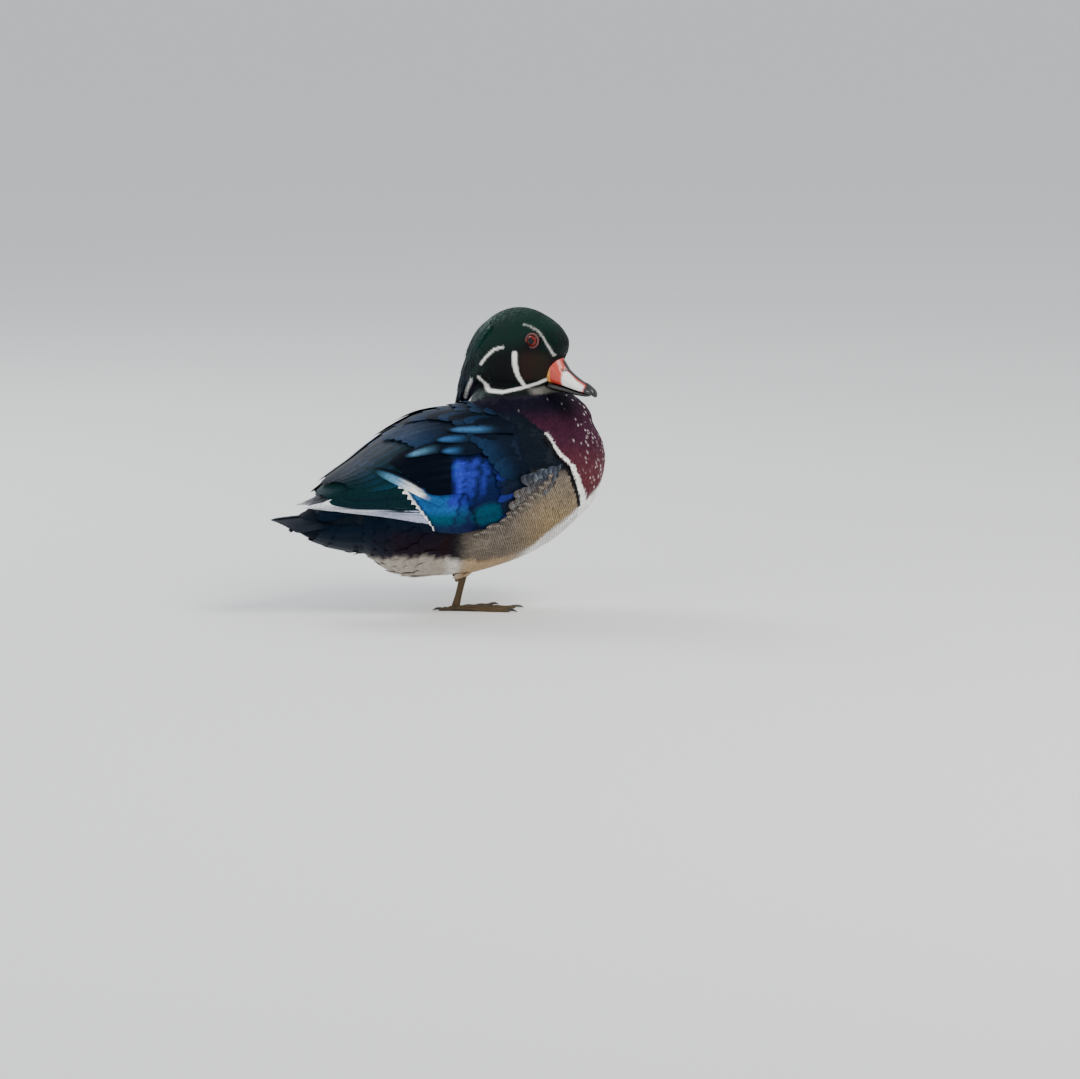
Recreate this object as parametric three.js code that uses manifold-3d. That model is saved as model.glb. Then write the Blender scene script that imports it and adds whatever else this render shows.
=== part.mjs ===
// A drake wood duck, life size, resting on one leg with its head drawn in and turned to its right.
// Millimetres. +X is the way the body faces, +Y its left side, +Z is up. The origin is on the floor,
// under the sole of the standing foot.
import * as THREE from "three";
import { mergeVertices } from "three/addons/utils/BufferGeometryUtils.js";
import Module from "manifold-3d";

const wasm = await Module();
wasm.setup();

// Driving dimensions.
const GAP = 0.4; // between touching pieces
const HEAD_AT = { x: 52.5, y: -5 }; // the middle of the head, over the shoulders
const HEAD_TURN = THREE.MathUtils.degToRad(-45); // to the bird's right
const EYE = { forward: 22, out: 16.2, height: 223.5, radius: 5.5 };
const EYELID = { radius: 6.1, thickness: 1.3, out: 2.3 };
const TARSUS = { foot: [-2, -2, 2], ankle: [4.5, -17, 44], radius: 2.9 };
const TOE_HEIGHT = 4.2;
const WEB_THICKNESS = 1.4;
const CLAW_RINGS = 6;
const CLAW_SIDES = 6;
const FEATHER = { shaft: 1.2, edge: 0.6 }; // a vane's thickness along its middle and at its edges

// Stations of the main forms. Each row is: place along, top, bottom, height of the widest line, half width
// and, on some, a shift sideways. A form with a half width of 0 at its first and last rows is closed there.
const TRUNK = [
  [125.8, 124, 124, 124, 0],
  [122, 141, 104, 123, 18],
  [113, 157, 85, 120, 33],
  [97, 166, 69.5, 115, 44.5],
  [78, 168, 54.5, 110, 51],
  [57, 168, 43.5, 106, 54],
  [35, 169, 36, 103, 55],
  [10, 168.5, 30, 100, 54.5],
  [-15, 165, 28.5, 97, 52],
  [-38, 157, 29.5, 94, 46.5],
  [-55, 144, 33.5, 91, 40],
  [-69, 131, 43.5, 88, 33],
  [-84, 118, 54.5, 84, 26],
  [-97, 103, 64, 81, 17],
  [-104, 81, 81, 81, 0],
];
// The folded wings lie on this outer form, a little larger than the trunk and longer to the rear.
const WING_FORM = [
  [92, 142, 80, 112, 34],
  [80, 158, 68, 112, 48],
  [60, 169, 52, 110, 57],
  [30, 173, 42, 106, 60],
  [0, 170, 38, 102, 60],
  [-20, 166, 40, 100, 58],
  [-34, 162, 46, 98, 55],
  [-48, 155, 54, 96, 51],
  [-60.5, 147.5, 62, 94, 46.5],
  [-77, 136, 70, 92, 39.5],
  [-89, 126.5, 74, 91, 33.5],
  [-106, 115, 79, 90.5, 25.5],
  [-120, 104.5, 83, 90.5, 18.5],
  [-131, 97, 86, 90, 12.5],
  [-142, 92, 87, 89.5, 8],
];
const NECK = [
  [138, 62, 62, 62, 0],
  [142, 106, 14, 62, 34],
  [157, 115, 6, 62, 40],
  [168, 109, 6, 60, 36],
  [177, 99, 12, 57, 31],
  [186, 84, 24, 54, 25],
  [192, 54, 54, 54, 0],
];
const HEAD = [
  [44.5, 220, 220, 220, 0],
  [42.5, 227, 211, 220, 8.5],
  [37, 234.5, 202, 218, 14.5],
  [31, 239.5, 188, 214, 18],
  [24, 243.5, 181.5, 211, 20.5],
  [13, 248, 179.8, 208, 22.8],
  [1, 249.7, 179.5, 206, 24],
  [-12, 247.8, 180, 204, 24],
  [-25, 241.5, 181, 203, 22, 0.5],
  [-36, 230, 178, 200, 18, 1.5],
  [-44, 213, 173, 192, 13.5, 3],
  [-49, 196, 169, 182, 9.5, 5],
  [-53, 182, 168, 175, 6, 7.5],
  [-55, 171, 171, 171, 0, 9],
];
// The crest's locks hang on this upright form round the back of the head. Its rows run from the crown down.
const CREST = [
  [246, 12, -16, -2, 12],
  [238, 10, -28, -6, 17],
  [230, 4, -37, -14, 19],
  [220, -4, -42.8, -21, 19, 0.5],
  [210, -12, -46.8, -28, 17, 1],
  [200, -20, -50.2, -34, 14.5, 2],
  [190, -27, -53.2, -40, 12, 3],
  [180, -33, -55.6, -44, 9.8, 4],
  [170, -38, -57.6, -48, 8, 5],
  [160, -42, -59, -51, 7, 6],
];
const BILL_UPPER = [
  [22, 202, 202, 202, 0],
  [29, 216, 189.8, 203, 9.5],
  [35, 213.8, 188.5, 199.5, 10.6],
  [40, 208.5, 187.4, 196.5, 10.2],
  [46, 200, 186, 192, 9.4],
  [55, 193, 183.5, 187.8, 8.8],
  [62.5, 189, 181.6, 184.8, 8.2],
  [67.5, 185.2, 180.2, 182.6, 6.2],
  [69.8, 182, 182, 182, 0],
];
const BILL_NAIL = [
  [60, 186.8, 186.8, 186.8, 0],
  [62, 189.8, 184.5, 187, 3],
  [66, 187.4, 181, 184.5, 4.2],
  [69.5, 184.6, 178.4, 181.6, 3.9],
  [71, 181.5, 178.2, 180, 2.2],
  [71.4, 179.6, 179.6, 179.6, 0],
];
const BILL_LOWER = [
  [24, 185, 185, 185, 0],
  [31, 189, 182.4, 185.8, 8.6],
  [45, 186.2, 180.4, 183.4, 8],
  [57, 183, 178.8, 181, 7],
  [63.5, 181.5, 178.4, 180, 5],
  [66, 179.6, 179.6, 179.6, 0],
];
const TAIL_BASE = [
  [-70, 84, 84, 84, 0],
  [-76, 121, 51.5, 84, 25],
  [-88, 115, 51, 82, 26.5],
  [-101, 105, 54, 80, 23.5],
  [-115, 95, 58.5, 77, 19.5],
  [-129, 86, 65.5, 76, 14.5],
  [-138, 75, 75, 75, 0],
];

const radians = THREE.MathUtils.degToRad;
const mix = THREE.MathUtils.lerp;
const smooth = (x, low, high) => {
  const t = THREE.MathUtils.clamp((x - low) / (high - low), 0, 1);
  return t * t * (3 - 2 * t);
};

// One row of a station table at a place u between its rows, on a Catmull-Rom curve. Past a closed end the
// table is taken to run back on the far side of the form, so that the end is round, and past an open end
// to run straight on.
function rowAt(table, u) {
  const last = table.length - 1;
  const i = Math.max(0, Math.min(Math.floor(u), last - 1));
  const t = u - i;
  const width = Math.max(...table.map((row) => row.length));
  const full = (row) => [...row, ...Array(width - row.length).fill(0)];
  const past = (end, next) =>
    end[4] === 0
      ? [next[0], next[2], next[1], next[3], -next[4], ...next.slice(5)]
      : end.map((value, k) => 2 * value - next[k]);
  const row = (k) => {
    if (k < 0) return past(full(table[0]), full(table[1]));
    if (k > last) return past(full(table[last]), full(table[last - 1]));
    return full(table[k]);
  };
  const [a, b, c, d] = [row(i - 1), row(i), row(i + 1), row(i + 2)];
  return b.map((value, k) => {
    const cubic = 3 * (value - c[k]) + d[k] - a[k];
    const square = 2 * a[k] - 5 * value + 4 * c[k] - d[k];
    return value + 0.5 * t * (c[k] - a[k] + t * (square + t * cubic));
  });
}

// The place u in a table whose row lies at this place along.
function placeOf(table, along) {
  let low = 0;
  let high = table.length - 1;
  const falling = table[0][0] > table[high][0];
  for (let step = 0; step < 24; step++) {
    const u = (low + high) / 2;
    if (rowAt(table, u)[0] > along === falling) low = u;
    else high = u;
  }
  return (low + high) / 2;
}

// Frames carry (along, out, up) to a point. On a lying form up is +Z and out is to the bird's right.
const bodyFrame = (along, out, up) => new THREE.Vector3(along, -out, up);
const standingFrame = (along, out, up) => new THREE.Vector3(up, -out, along);
const headFrame = (along, out, up) =>
  new THREE.Vector3(along, -out, up)
    .applyAxisAngle(new THREE.Vector3(0, 0, 1), HEAD_TURN)
    .add(new THREE.Vector3(HEAD_AT.x, HEAD_AT.y, 0));

// A form is a table with its frame and how square its upper and lower halves are: 2 is an ellipse.
const form = (table, frame, crown = 2, keel = 2, swell = () => 0) => ({ table, frame, crown, keel, swell });
const flankSwell = (along, angle) => {
  const fromTop = Math.abs(Math.atan2(Math.sin(angle), Math.cos(angle)));
  const across = (fromTop - radians(103)) / radians(34);
  const down = (along - 60) / 37;
  return 4.6 * Math.exp(-(across ** 4) - down ** 4);
};
const trunkForm = form(TRUNK, bodyFrame, 2, 2.25, flankSwell);
const wingForm = form(WING_FORM, bodyFrame, 2, 2);
const neckForm = form(NECK, standingFrame);
const headForm = form(HEAD, headFrame, 2.1, 2.2);
const uprightHeadFrame = (along, out, up) => headFrame(up, out, along);
const crestForm = form(CREST, uprightHeadFrame);
const billUpperForm = form(BILL_UPPER, headFrame, 1.5, 4);
const billLowerForm = form(BILL_LOWER, headFrame, 4, 2);
const billNailForm = form(BILL_NAIL, headFrame);
const tailForm = form(TAIL_BASE, bodyFrame);

// A point of a form, at place u and an angle from the top round to the bird's right, raised by lift.
function onForm(f, u, angle, lift = 0) {
  const [along, top, bottom, middle, half, aside = 0] = rowAt(f.table, u);
  const closed = f.table[0][4] === 0;
  const share = u / (f.table.length - 1);
  const radial = closed ? Math.sqrt(Math.max(0, Math.sin(Math.PI * share))) : 1;
  const axial = closed ? Math.sign(f.table[0][0] - f.table[1][0]) * Math.cos(Math.PI * share) : 0;
  const raise = lift * radial + f.swell(along, angle) * radial;
  const c = Math.cos(angle);
  const s = Math.sin(angle);
  const power = 2 / (c > 0 ? f.crown : f.keel);
  const reach = c > 0 ? top - middle : middle - bottom;
  return f.frame(
    along + lift * axial,
    (half + raise) * Math.sign(s) * Math.abs(s) ** power + aside,
    middle + (reach + raise) * Math.sign(c) * Math.abs(c) ** power
  );
}

// A closed mesh as a solid, turned the right way out.
function solid(geometry) {
  geometry.deleteAttribute("normal");
  geometry.deleteAttribute("uv");
  const merged = mergeVertices(geometry, 1e-4);
  const vertProperties = merged.attributes.position.array;
  const triVerts = Uint32Array.from(merged.index.array);
  const corner = (k) => new THREE.Vector3().fromArray(vertProperties, 3 * triVerts[k]);
  let volume = 0;
  for (let i = 0; i < triVerts.length; i += 3) volume += corner(i).dot(corner(i + 1).cross(corner(i + 2)));
  if (volume < 0) for (let i = 0; i < triVerts.length; i += 3) triVerts.subarray(i, i + 3).reverse();
  return new wasm.Manifold(new wasm.Mesh({ numProp: 3, vertProperties, triVerts }));
}

// A sphere's grid laid on a closed form.
function lofted(f, rings, sides, lift = 0) {
  const geometry = new THREE.SphereGeometry(1, sides, rings);
  const { position, uv } = geometry.attributes;
  const last = f.table.length - 1;
  for (let i = 0; i < position.count; i++) {
    const p = onForm(f, (1 - uv.getY(i)) * last, uv.getX(i) * 2 * Math.PI, lift);
    position.setXYZ(i, p.x, p.y, p.z);
  }
  return solid(geometry);
}

// A thin closed plate. point(along, across, side) places its grid: along the stops, across from -1 to 1, and
// side 0 on the inner face and 1 on the outer. Both faces are split alike.
function plate(point, stops, columns) {
  const positions = [];
  const index = [];
  const rows = stops.length;
  const id = (i, j, side) => (i * (columns + 1) + j) * 2 + side;
  for (const along of stops)
    for (let j = 0; j <= columns; j++)
      for (const side of [0, 1]) positions.push(...point(along, (2 * j) / columns - 1, side).toArray());
  const quad = (a, b, c, d) => index.push(a, b, c, a, c, d);
  for (let i = 0; i < rows - 1; i++)
    for (let j = 0; j < columns; j++) {
      quad(id(i, j, 1), id(i + 1, j, 1), id(i + 1, j + 1, 1), id(i, j + 1, 1));
      index.push(id(i, j, 0), id(i + 1, j + 1, 0), id(i + 1, j, 0));
      index.push(id(i, j, 0), id(i, j + 1, 0), id(i + 1, j + 1, 0));
    }
  for (let i = 0; i < rows - 1; i++) {
    quad(id(i, 0, 0), id(i + 1, 0, 0), id(i + 1, 0, 1), id(i, 0, 1));
    quad(id(i, columns, 1), id(i + 1, columns, 1), id(i + 1, columns, 0), id(i, columns, 0));
  }
  for (let j = 0; j < columns; j++) {
    quad(id(0, j, 1), id(0, j + 1, 1), id(0, j + 1, 0), id(0, j, 0));
    quad(id(rows - 1, j, 0), id(rows - 1, j + 1, 0), id(rows - 1, j + 1, 1), id(rows - 1, j, 1));
  }
  const geometry = new THREE.BufferGeometry();
  geometry.setAttribute("position", new THREE.Float32BufferAttribute(positions, 3));
  geometry.setIndex(index);
  return solid(geometry);
}

// A feather's half width along its length, as a share of its greatest: narrow at the root, round at the tip.
const VANE_STOPS = [0, 0.5, 0.86, 1];
const SHORT_STOPS = [0, 0.64, 1];
const vaneWidth = (along, tip) => {
  const opening = 0.72 + 0.28 * smooth(along, 0, 0.5);
  return opening * mix(1, tip, smooth(along, 0.72, 1));
};

// A feather laid on a form. from and to are [place along, angle in degrees]; its middle line may bow by some
// degrees.
function feather(f, { from, to, width, lift, tip = 0.42, bow = 0, stops = VANE_STOPS, grow = 0 }) {
  const centre = (t) => [mix(from[0], to[0], t), mix(from[1], to[1], t) + bow * 4 * t * (1 - t)];
  return plate(
    (along, across, side) => {
      const [x, angle] = centre(along);
      const [x2, angle2] = centre(along + 0.02);
      const u = placeOf(f.table, x);
      const [, top, bottom, middle, half] = rowAt(f.table, u);
      const perRadian = ((angle < 90 ? top - middle : middle - bottom) + half) / 2;
      const direction = new THREE.Vector2(x2 - x, radians(angle2 - angle) * perRadian).normalize();
      const offset = across * ((width / 2) * vaneWidth(along, tip) + grow);
      const thick = mix(FEATHER.shaft, FEATHER.edge, Math.abs(across)) / 2 + grow;
      const place = placeOf(f.table, x - direction.y * offset);
      const turned = radians(angle) + (direction.x * offset) / perRadian;
      const height = mix(lift[0], lift[1], along) + (side ? thick : -thick);
      return onForm(f, place, turned, height);
    },
    stops,
    2
  );
}

// A tier of feathers: spec gives each one's numbers from its share along the tier, 0 to 1, and its number.
const tier = (f, count, grow, spec) =>
  Array.from({ length: count }, (_, k) => feather(f, { ...spec(count > 1 ? k / (count - 1) : 0.5, k), grow }));
const joined = (pieces) => wasm.Manifold.union(pieces);
const largest = (made) => made.decompose().reduce((a, b) => (a.volume() > b.volume() ? a : b));
const cut = (made, ...by) => largest(by.reduce((rest, one) => rest.subtract(one), made));

// Seeded variation, from -1 to 1, the same on every run.
let seed = 7;
const vary = (amount) => {
  seed = (seed * 16807) % 2147483647;
  return amount * ((2 * seed) / 2147483647 - 1);
};

// The trunk: back, breast, belly and flanks. The longest flank feathers fan over the lower edge of the folded wing.
const FLANK = { count: 6, tips: [[62, 78], [10, 108]], length: 30, width: 16 };

function flank(side, grow = 0) {
  const [first, last] = FLANK.tips;
  seed = 5;
  return tier(wingForm, FLANK.count, grow, (share) => {
    const tip = [mix(first[0], last[0], share), mix(first[1], last[1], share ** 0.8) + vary(1)];
    const root = [tip[0] + FLANK.length * mix(0.35, 0.9, share), tip[1] + mix(22, 8, share)];
    return { from: root, to: tip, width: FLANK.width, lift: [-2.5, 1.1], tip: 0.5, stops: SHORT_STOPS };
  }).map((made) => (side > 0 ? made : made.mirror([0, 1, 0])));
}

function trunk(grow = 0) {
  return lofted(trunkForm, 20, 24, grow);
}

// One folded wing, the right one, on the wing form: its upper and lower edges as [place along, angle].
const WING_TOP = [[85, 46], [50, 33], [20, 27], [-20, 16], [-50, 8], [-80, 6], [-134, 12]];
const WING_EDGE = [[85, 88], [50, 108], [20, 122], [-4, 121], [-37, 117], [-60, 108], [-97, 97], [-134, 88]];
const WING_ENDS = [80, -133];
const tableAt = (table, x) => {
  const next = table.findIndex((row) => row[0] <= x);
  const k = Math.max(1, next < 0 ? table.length - 1 : next);
  const [[x0, a0], [x1, a1]] = [table[k - 1], table[k]];
  return mix(a0, a1, THREE.MathUtils.clamp((x - x0) / (x1 - x0), 0, 1));
};

const WING_CORE_END = -102;
const PRIMARIES = 5;
const SECONDARIES = 5;
const GREATER_COVERTS = 4;
const TERTIALS = 4;

function wingCore() {
  const front = WING_ENDS[0];
  const stops = Array.from({ length: 9 }, (_, k) => k / 8);
  return plate(
    (along, across, side) => {
      const x = mix(front, WING_CORE_END, along);
      const inset = mix(0, 9, smooth(x, 40, -40));
      const angle = mix(tableAt(WING_TOP, x) + inset / 2, tableAt(WING_EDGE, x) - inset, (across + 1) / 2);
      const outer = mix(mix(-0.4, -3.4, smooth(x, 30, -20)), -2.6, smooth(x, -70, -100));
      const inner = mix(-7, -4.6, smooth(x, -60, -95));
      return onForm(wingForm, placeOf(WING_FORM, x), radians(angle), side ? outer : inner);
    },
    stops,
    5
  );
}

// The wing's feathers, tier over tier from the primaries up to the scapulars.
function wingFeathers() {
  const primaries = tier(wingForm, PRIMARIES, 0, (share, k) => ({
    from: [-12, mix(111, 78, share)],
    to: [mix(WING_ENDS[1], -99, share ** 0.9), mix(86, 66, share)],
    bow: mix(6, 4, share),
    width: mix(9.5, 12, share),
    lift: [-3.4 + 0.2 * k, -3.2 + 0.5 * k],
    tip: 0.3,
  }));
  const secondaries = tier(wingForm, SECONDARIES, 0, (share, k) => ({
    from: [24 - 8 * share, mix(108, 62, share)],
    to: [mix(-34, -60, share), mix(113, 66, share)],
    bow: mix(4, 0, share),
    width: 15,
    lift: [-2.4 + 0.1 * k, -2 + 0.3 * k],
    tip: 0.62,
  }));
  const greater = tier(wingForm, GREATER_COVERTS, 0, (share, k) => ({
    from: [48 - 10 * share, mix(104, 58, share)],
    to: [mix(2, -14, share), mix(113, 66, share)],
    width: 19,
    lift: [-1.8, -0.7 + 0.25 * k],
    tip: 0.6,
    stops: SHORT_STOPS,
  }));
  const tertials = tier(wingForm, TERTIALS, 0, (share, k) => ({
    from: [10 + 8 * share, mix(58, 24, share)],
    to: [mix(-84, -113, share), mix(62, 20, share)],
    bow: mix(2, -2, share),
    width: 17,
    lift: [-1, 0.2 + 0.45 * k],
    tip: 0.36,
  }));
  const outerScapulars = tier(wingForm, 4, 0, (share, k) => ({
    from: [60 - 14 * share, mix(72, 36, share)],
    to: [mix(12, -24, share), mix(74, 36, share)],
    width: 18,
    lift: [-1.2, 1.4 + 0.25 * k],
    tip: 0.5,
    stops: SHORT_STOPS,
  }));
  const innerScapulars = tier(wingForm, 3, 0, (share, k) => ({
    from: [52 - 20 * share, mix(44, 26, share)],
    to: [mix(2, -52, share), mix(40, 12, share)],
    width: 17,
    lift: [-0.8, 2 + 0.3 * k],
    tip: 0.45,
    stops: SHORT_STOPS,
  }));
  return [...primaries, ...secondaries, ...greater, ...tertials, ...outerScapulars, ...innerScapulars];
}

// The tail: its base, the long tail feathers as a low roof, and the coverts over and under their roots.
const TAIL = { pairs: 5, root: -84, tip: -155.5, width: 14, thickness: 1.1 };

function tailFeather(side, k, grow) {
  const root = new THREE.Vector3(TAIL.root, side * (1.5 + 2.4 * k), 86 - 0.6 * k);
  const tip = new THREE.Vector3(TAIL.tip + 3.2 * k, side * (3.5 + 5.6 * k), 80.5 - 0.55 * k ** 1.5);
  const slope = radians(8 + 5 * k) * side;
  const sideways = new THREE.Vector3(0, Math.cos(slope), -Math.sin(slope));
  const raised = new THREE.Vector3(0, Math.sin(slope), Math.cos(slope));
  return plate(
    (along, across, face) => {
      const half = (TAIL.width / 2) * vaneWidth(along, 0.5) + grow;
      const thick = mix(TAIL.thickness, FEATHER.edge, Math.abs(across)) / 2 + grow;
      return root
        .clone()
        .lerp(tip, along)
        .addScaledVector(sideways, across * half)
        .addScaledVector(raised, (face ? thick : -thick) + (side > 0 ? 0.05 : 0));
    },
    [0, 0.85, 1],
    2
  );
}

function tail(grow = 0) {
  const long = [];
  for (let k = 0; k < TAIL.pairs; k++) for (const side of [1, -1]) long.push(tailFeather(side, k, grow));
  const over = tier(tailForm, 3, grow, (share) => ({
    from: [-92, mix(-52, 52, share)],
    to: [-126 + 10 * Math.abs(share - 0.5), mix(-46, 46, share)],
    width: 18,
    lift: [-1, 0.9],
    stops: SHORT_STOPS,
  }));
  const beneath = tier(tailForm, 3, grow, (share) => ({
    from: [-96, mix(132, 228, share)],
    to: [-129 + 8 * Math.abs(share - 0.5), mix(142, 218, share)],
    width: 18,
    lift: [-1, 1],
    stops: SHORT_STOPS,
  }));
  return joined([lofted(tailForm, 10, 14, grow), ...long, ...over, ...beneath]);
}

// The crest: flat locks in three tiers down the back of the head, the lowest with free tips over the back.
function crest(grow = 0) {
  seed = 11;
  const tierOf = (count, from, to, spread, lift) =>
    tier(crestForm, count, grow, (share) => {
      const aside = (share - 0.5) * 2;
      return {
        from: [from - 9 * Math.abs(aside), 180 + spread[0] * aside],
        to: [to + 7 * Math.abs(aside) + vary(2.5), 180 + spread[1] * aside + vary(4)],
        width: 9.5,
        lift: [-1.5, lift],
        tip: 0.25,
        stops: [0, 0.62, 1],
      };
    });
  return [
    ...tierOf(4, 212, 164, [62, 66], 0.4),
    ...tierOf(5, 224, 181, [74, 72], 1.3),
    ...tierOf(4, 236, 199, [70, 70], 1.9),
  ];
}

// The right eye's middle, and the left one's.
const eyeAt = (side) => headFrame(EYE.forward, side * EYE.out, EYE.height);
const eyeOut = (side) => headFrame(0, side, 0).sub(headFrame(0, 0, 0));

function eyeball(side, grow = 0) {
  const at = eyeAt(side);
  const geometry = new THREE.SphereGeometry(EYE.radius + grow, 14, 8).translate(at.x, at.y, at.z);
  return solid(geometry);
}

function eyelid(side, grow = 0) {
  const at = eyeAt(side).addScaledVector(eyeOut(side), EYELID.out);
  const facing = new THREE.Quaternion().setFromUnitVectors(new THREE.Vector3(0, 0, 1), eyeOut(side));
  const geometry = new THREE.TorusGeometry(EYELID.radius, EYELID.thickness + grow, 5, 14).applyQuaternion(facing);
  return solid(geometry.translate(at.x, at.y, at.z));
}

// The standing leg leans in from the hip to the foot.
const legAxis = () => {
  const foot = new THREE.Vector3(...TARSUS.foot);
  const ankle = new THREE.Vector3(...TARSUS.ankle);
  return { foot, ankle, length: foot.distanceTo(ankle), along: ankle.clone().sub(foot).normalize() };
};
const legFrame = (along, out, up) => {
  const leg = legAxis();
  const side = new THREE.Vector3(0, -1, 0);
  const front = side.clone().cross(leg.along).normalize().negate();
  return leg.foot.clone().addScaledVector(leg.along, along).addScaledVector(side, out).addScaledVector(front, up);
};
const TARSUS_ROWS = [
  [-0.8, 0, 0, 0, 0],
  [0.4, 3, -3, 0, 2.8],
  [5, 3.1, -3.1, 0, 2.8],
  [12, 2.7, -2.7, 0, 2.2],
  [24, 2.8, -2.8, 0, 2.3],
  [34, 3.3, -3.3, 0, 2.9],
  [42, 3.6, -3.9, 0, 3.3],
  [46, 0, 0, 0, 0],
];
const THIGH_ROWS = [
  [26.5, 0, 0, 0, 0],
  [28, 4.6, -4.8, 0, 4.4],
  [33, 8, -8, 0, 7.2],
  [42, 14, -13, 0, 11],
  [50, 16, -15, 0, 12],
  [56, 0, 0, 0, 0],
];
const tarsusForm = form(TARSUS_ROWS, legFrame);
const thighForm = form(THIGH_ROWS, legFrame);

// Each toe of the standing foot: its angle from straight ahead, its length, and its half width at the root.
const TOES = [
  { name: "outer", angle: -27, length: 45, half: 3.1 },
  { name: "middle", angle: -1, length: 50, half: 3.3 },
  { name: "inner", angle: 25, length: 39, half: 3 },
  { name: "hind", angle: 172, length: 13, half: 2.4 },
];
const toeFrame = (angle) => (along, out, up) =>
  new THREE.Vector3(along, -out, up)
    .applyAxisAngle(new THREE.Vector3(0, 0, 1), radians(angle))
    .add(new THREE.Vector3(TARSUS.foot[0], TARSUS.foot[1], 0));

function toe({ angle, length, half }) {
  const knuckle = (share, swell) => [
    mix(-2, length, share),
    TOE_HEIGHT * (1 - 0.38 * share) * swell,
    -1,
    1.2,
    half * (1 - 0.3 * share) * swell,
  ];
  const table = [
    [-4, 1.5, 1.5, 1.5, 0],
    knuckle(0.02, 1.05),
    knuckle(0.2, 0.92),
    knuckle(0.38, 1.08),
    knuckle(0.55, 0.88),
    knuckle(0.7, 1.06),
    knuckle(0.85, 0.85),
    knuckle(0.96, 0.9),
    [length + 1, 1.2, 1.2, 1.2, 0],
  ];
  return lofted(form(table, toeFrame(angle), 2, 3), 8, 8);
}

// A web between two toes, with its front edge drawn in.
function web(a, b) {
  const inset = 0.2;
  return plate(
    (along, across, side) => {
      const share = (across + 1) / 2;
      const reach = mix(a.length, b.length, share) * (1 - inset * 4 * share * (1 - share)) * 0.93;
      return toeFrame(mix(a.angle, b.angle, share))(along * reach, 0, side ? WEB_THICKNESS : -0.5);
    },
    [0.08, 0.5, 1],
    4
  );
}

const under = () => solid(new THREE.BoxGeometry(300, 300, 20).translate(0, 0, -10));

function foot() {
  const [outer, middle, inner] = TOES;
  return joined([...TOES.map(toe), web(outer, middle), web(middle, inner)]).subtract(under());
}

function claw({ angle, length, half }, grow = 0) {
  const long = half * 2.4;
  const table = [
    [length - 3, 1.8, 1.8, 1.8, 0],
    [length - 2, 2.9 + grow, 0.9 - grow, 1.9, 1.1 + grow],
    [length + long * 0.4, 3 + grow, 0.9 - grow, 2, 1 + grow],
    [length + long * 0.8, 1.8 + grow, 0.6 - grow, 1.2, 0.6 + grow],
    [length + long + grow, 0.5, 0.5, 0.5, 0],
  ];
  return lofted(form(table, toeFrame(angle)), CLAW_RINGS, CLAW_SIDES);
}

// The lifted left leg lies half sunk in the belly feathers, its closed foot turned back under it.
const tuckedFrame = (along, out, up) => new THREE.Vector3(along, 25 - out, up);
const TUCKED_TARSUS = [
  [16, 36, 36, 36, 0],
  [14, 39.5, 31, 35.5, 3.6],
  [4, 37, 29, 33, 2.8],
  [-10, 36, 28.3, 32, 2.6],
  [-20, 37, 28, 33, 3.4],
  [-23, 33, 33, 33, 0],
];
const TUCKED_FOOT = [
  [-18, 33, 33, 33, 0, 0],
  [-21, 38, 27.6, 33, 4.6, 0],
  [-30, 40, 29, 34.5, 6.2, 1],
  [-46, 44, 33, 38.5, 6.4, 2],
  [-58, 50, 39.5, 45, 4.6, 2.6],
  [-64, 48.5, 48.5, 48.5, 0, 3],
];
// How far each claw lies aside, at the closed foot's end.
const TUCKED_CLAWS = { outer: 4.2, middle: 1.4, inner: -1.4 };
const tuckedTarsusForm = form(TUCKED_TARSUS, tuckedFrame);
const tuckedFootForm = form(TUCKED_FOOT, tuckedFrame);

function tuckedClaw(aside, grow = 0) {
  const table = [
    [-56, 41.2, 41.2, 41.2, 0, aside],
    [-58, 43 + grow, 40.4 - grow, 41.6, 1.1 + grow, aside],
    [-64, 45.6 + grow, 43.4 - grow, 44.6, 1 + grow, aside],
    [-68.5, 46.8 + grow, 45.8 - grow, 46.4, 0.6 + grow, aside],
    [-70.5 - grow, 46.6, 46.6, 46.6, 0, aside],
  ];
  return lofted(form(table, tuckedFrame), CLAW_RINGS, CLAW_SIDES);
}

// Puts everything together. Each piece is cut back by the ones that it meets.
const grownTrunk = trunk(GAP);
const grownTail = tail(GAP);
const grownHead = lofted(headForm, 17, 20, GAP);
const grownCrest = joined(crest(GAP));
const nail = lofted(billNailForm, 8, 12);
const grownNail = lofted(billNailForm, 8, 12, GAP);
const grownBill = lofted(billUpperForm, 12, 14, GAP);
const grownLower = lofted(billLowerForm, 9, 12, GAP);
const grownTarsus = lofted(tarsusForm, 10, 10, GAP);
const grownNeck = lofted(neckForm, 10, 22, GAP);
const eyes = [1, -1].flatMap((side) => [eyeball(side, GAP), eyelid(side, GAP)]);
const grownClaws = joined(TOES.map((t) => claw(t, GAP)));
const grownTuckedClaws = joined(Object.values(TUCKED_CLAWS).map((aside) => tuckedClaw(aside, GAP)));
const wingClearance = joined([trunk(2 * GAP), ...flank(1, GAP)]);
const wingWhole = cut(joined([wingCore(), ...wingFeathers()]), wingClearance, grownTail);
const wingOf = (side) =>
  cut(side > 0 ? wingWhole : wingWhole.mirror([0, 1, 0]), grownNeck, grownHead, grownCrest);
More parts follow.
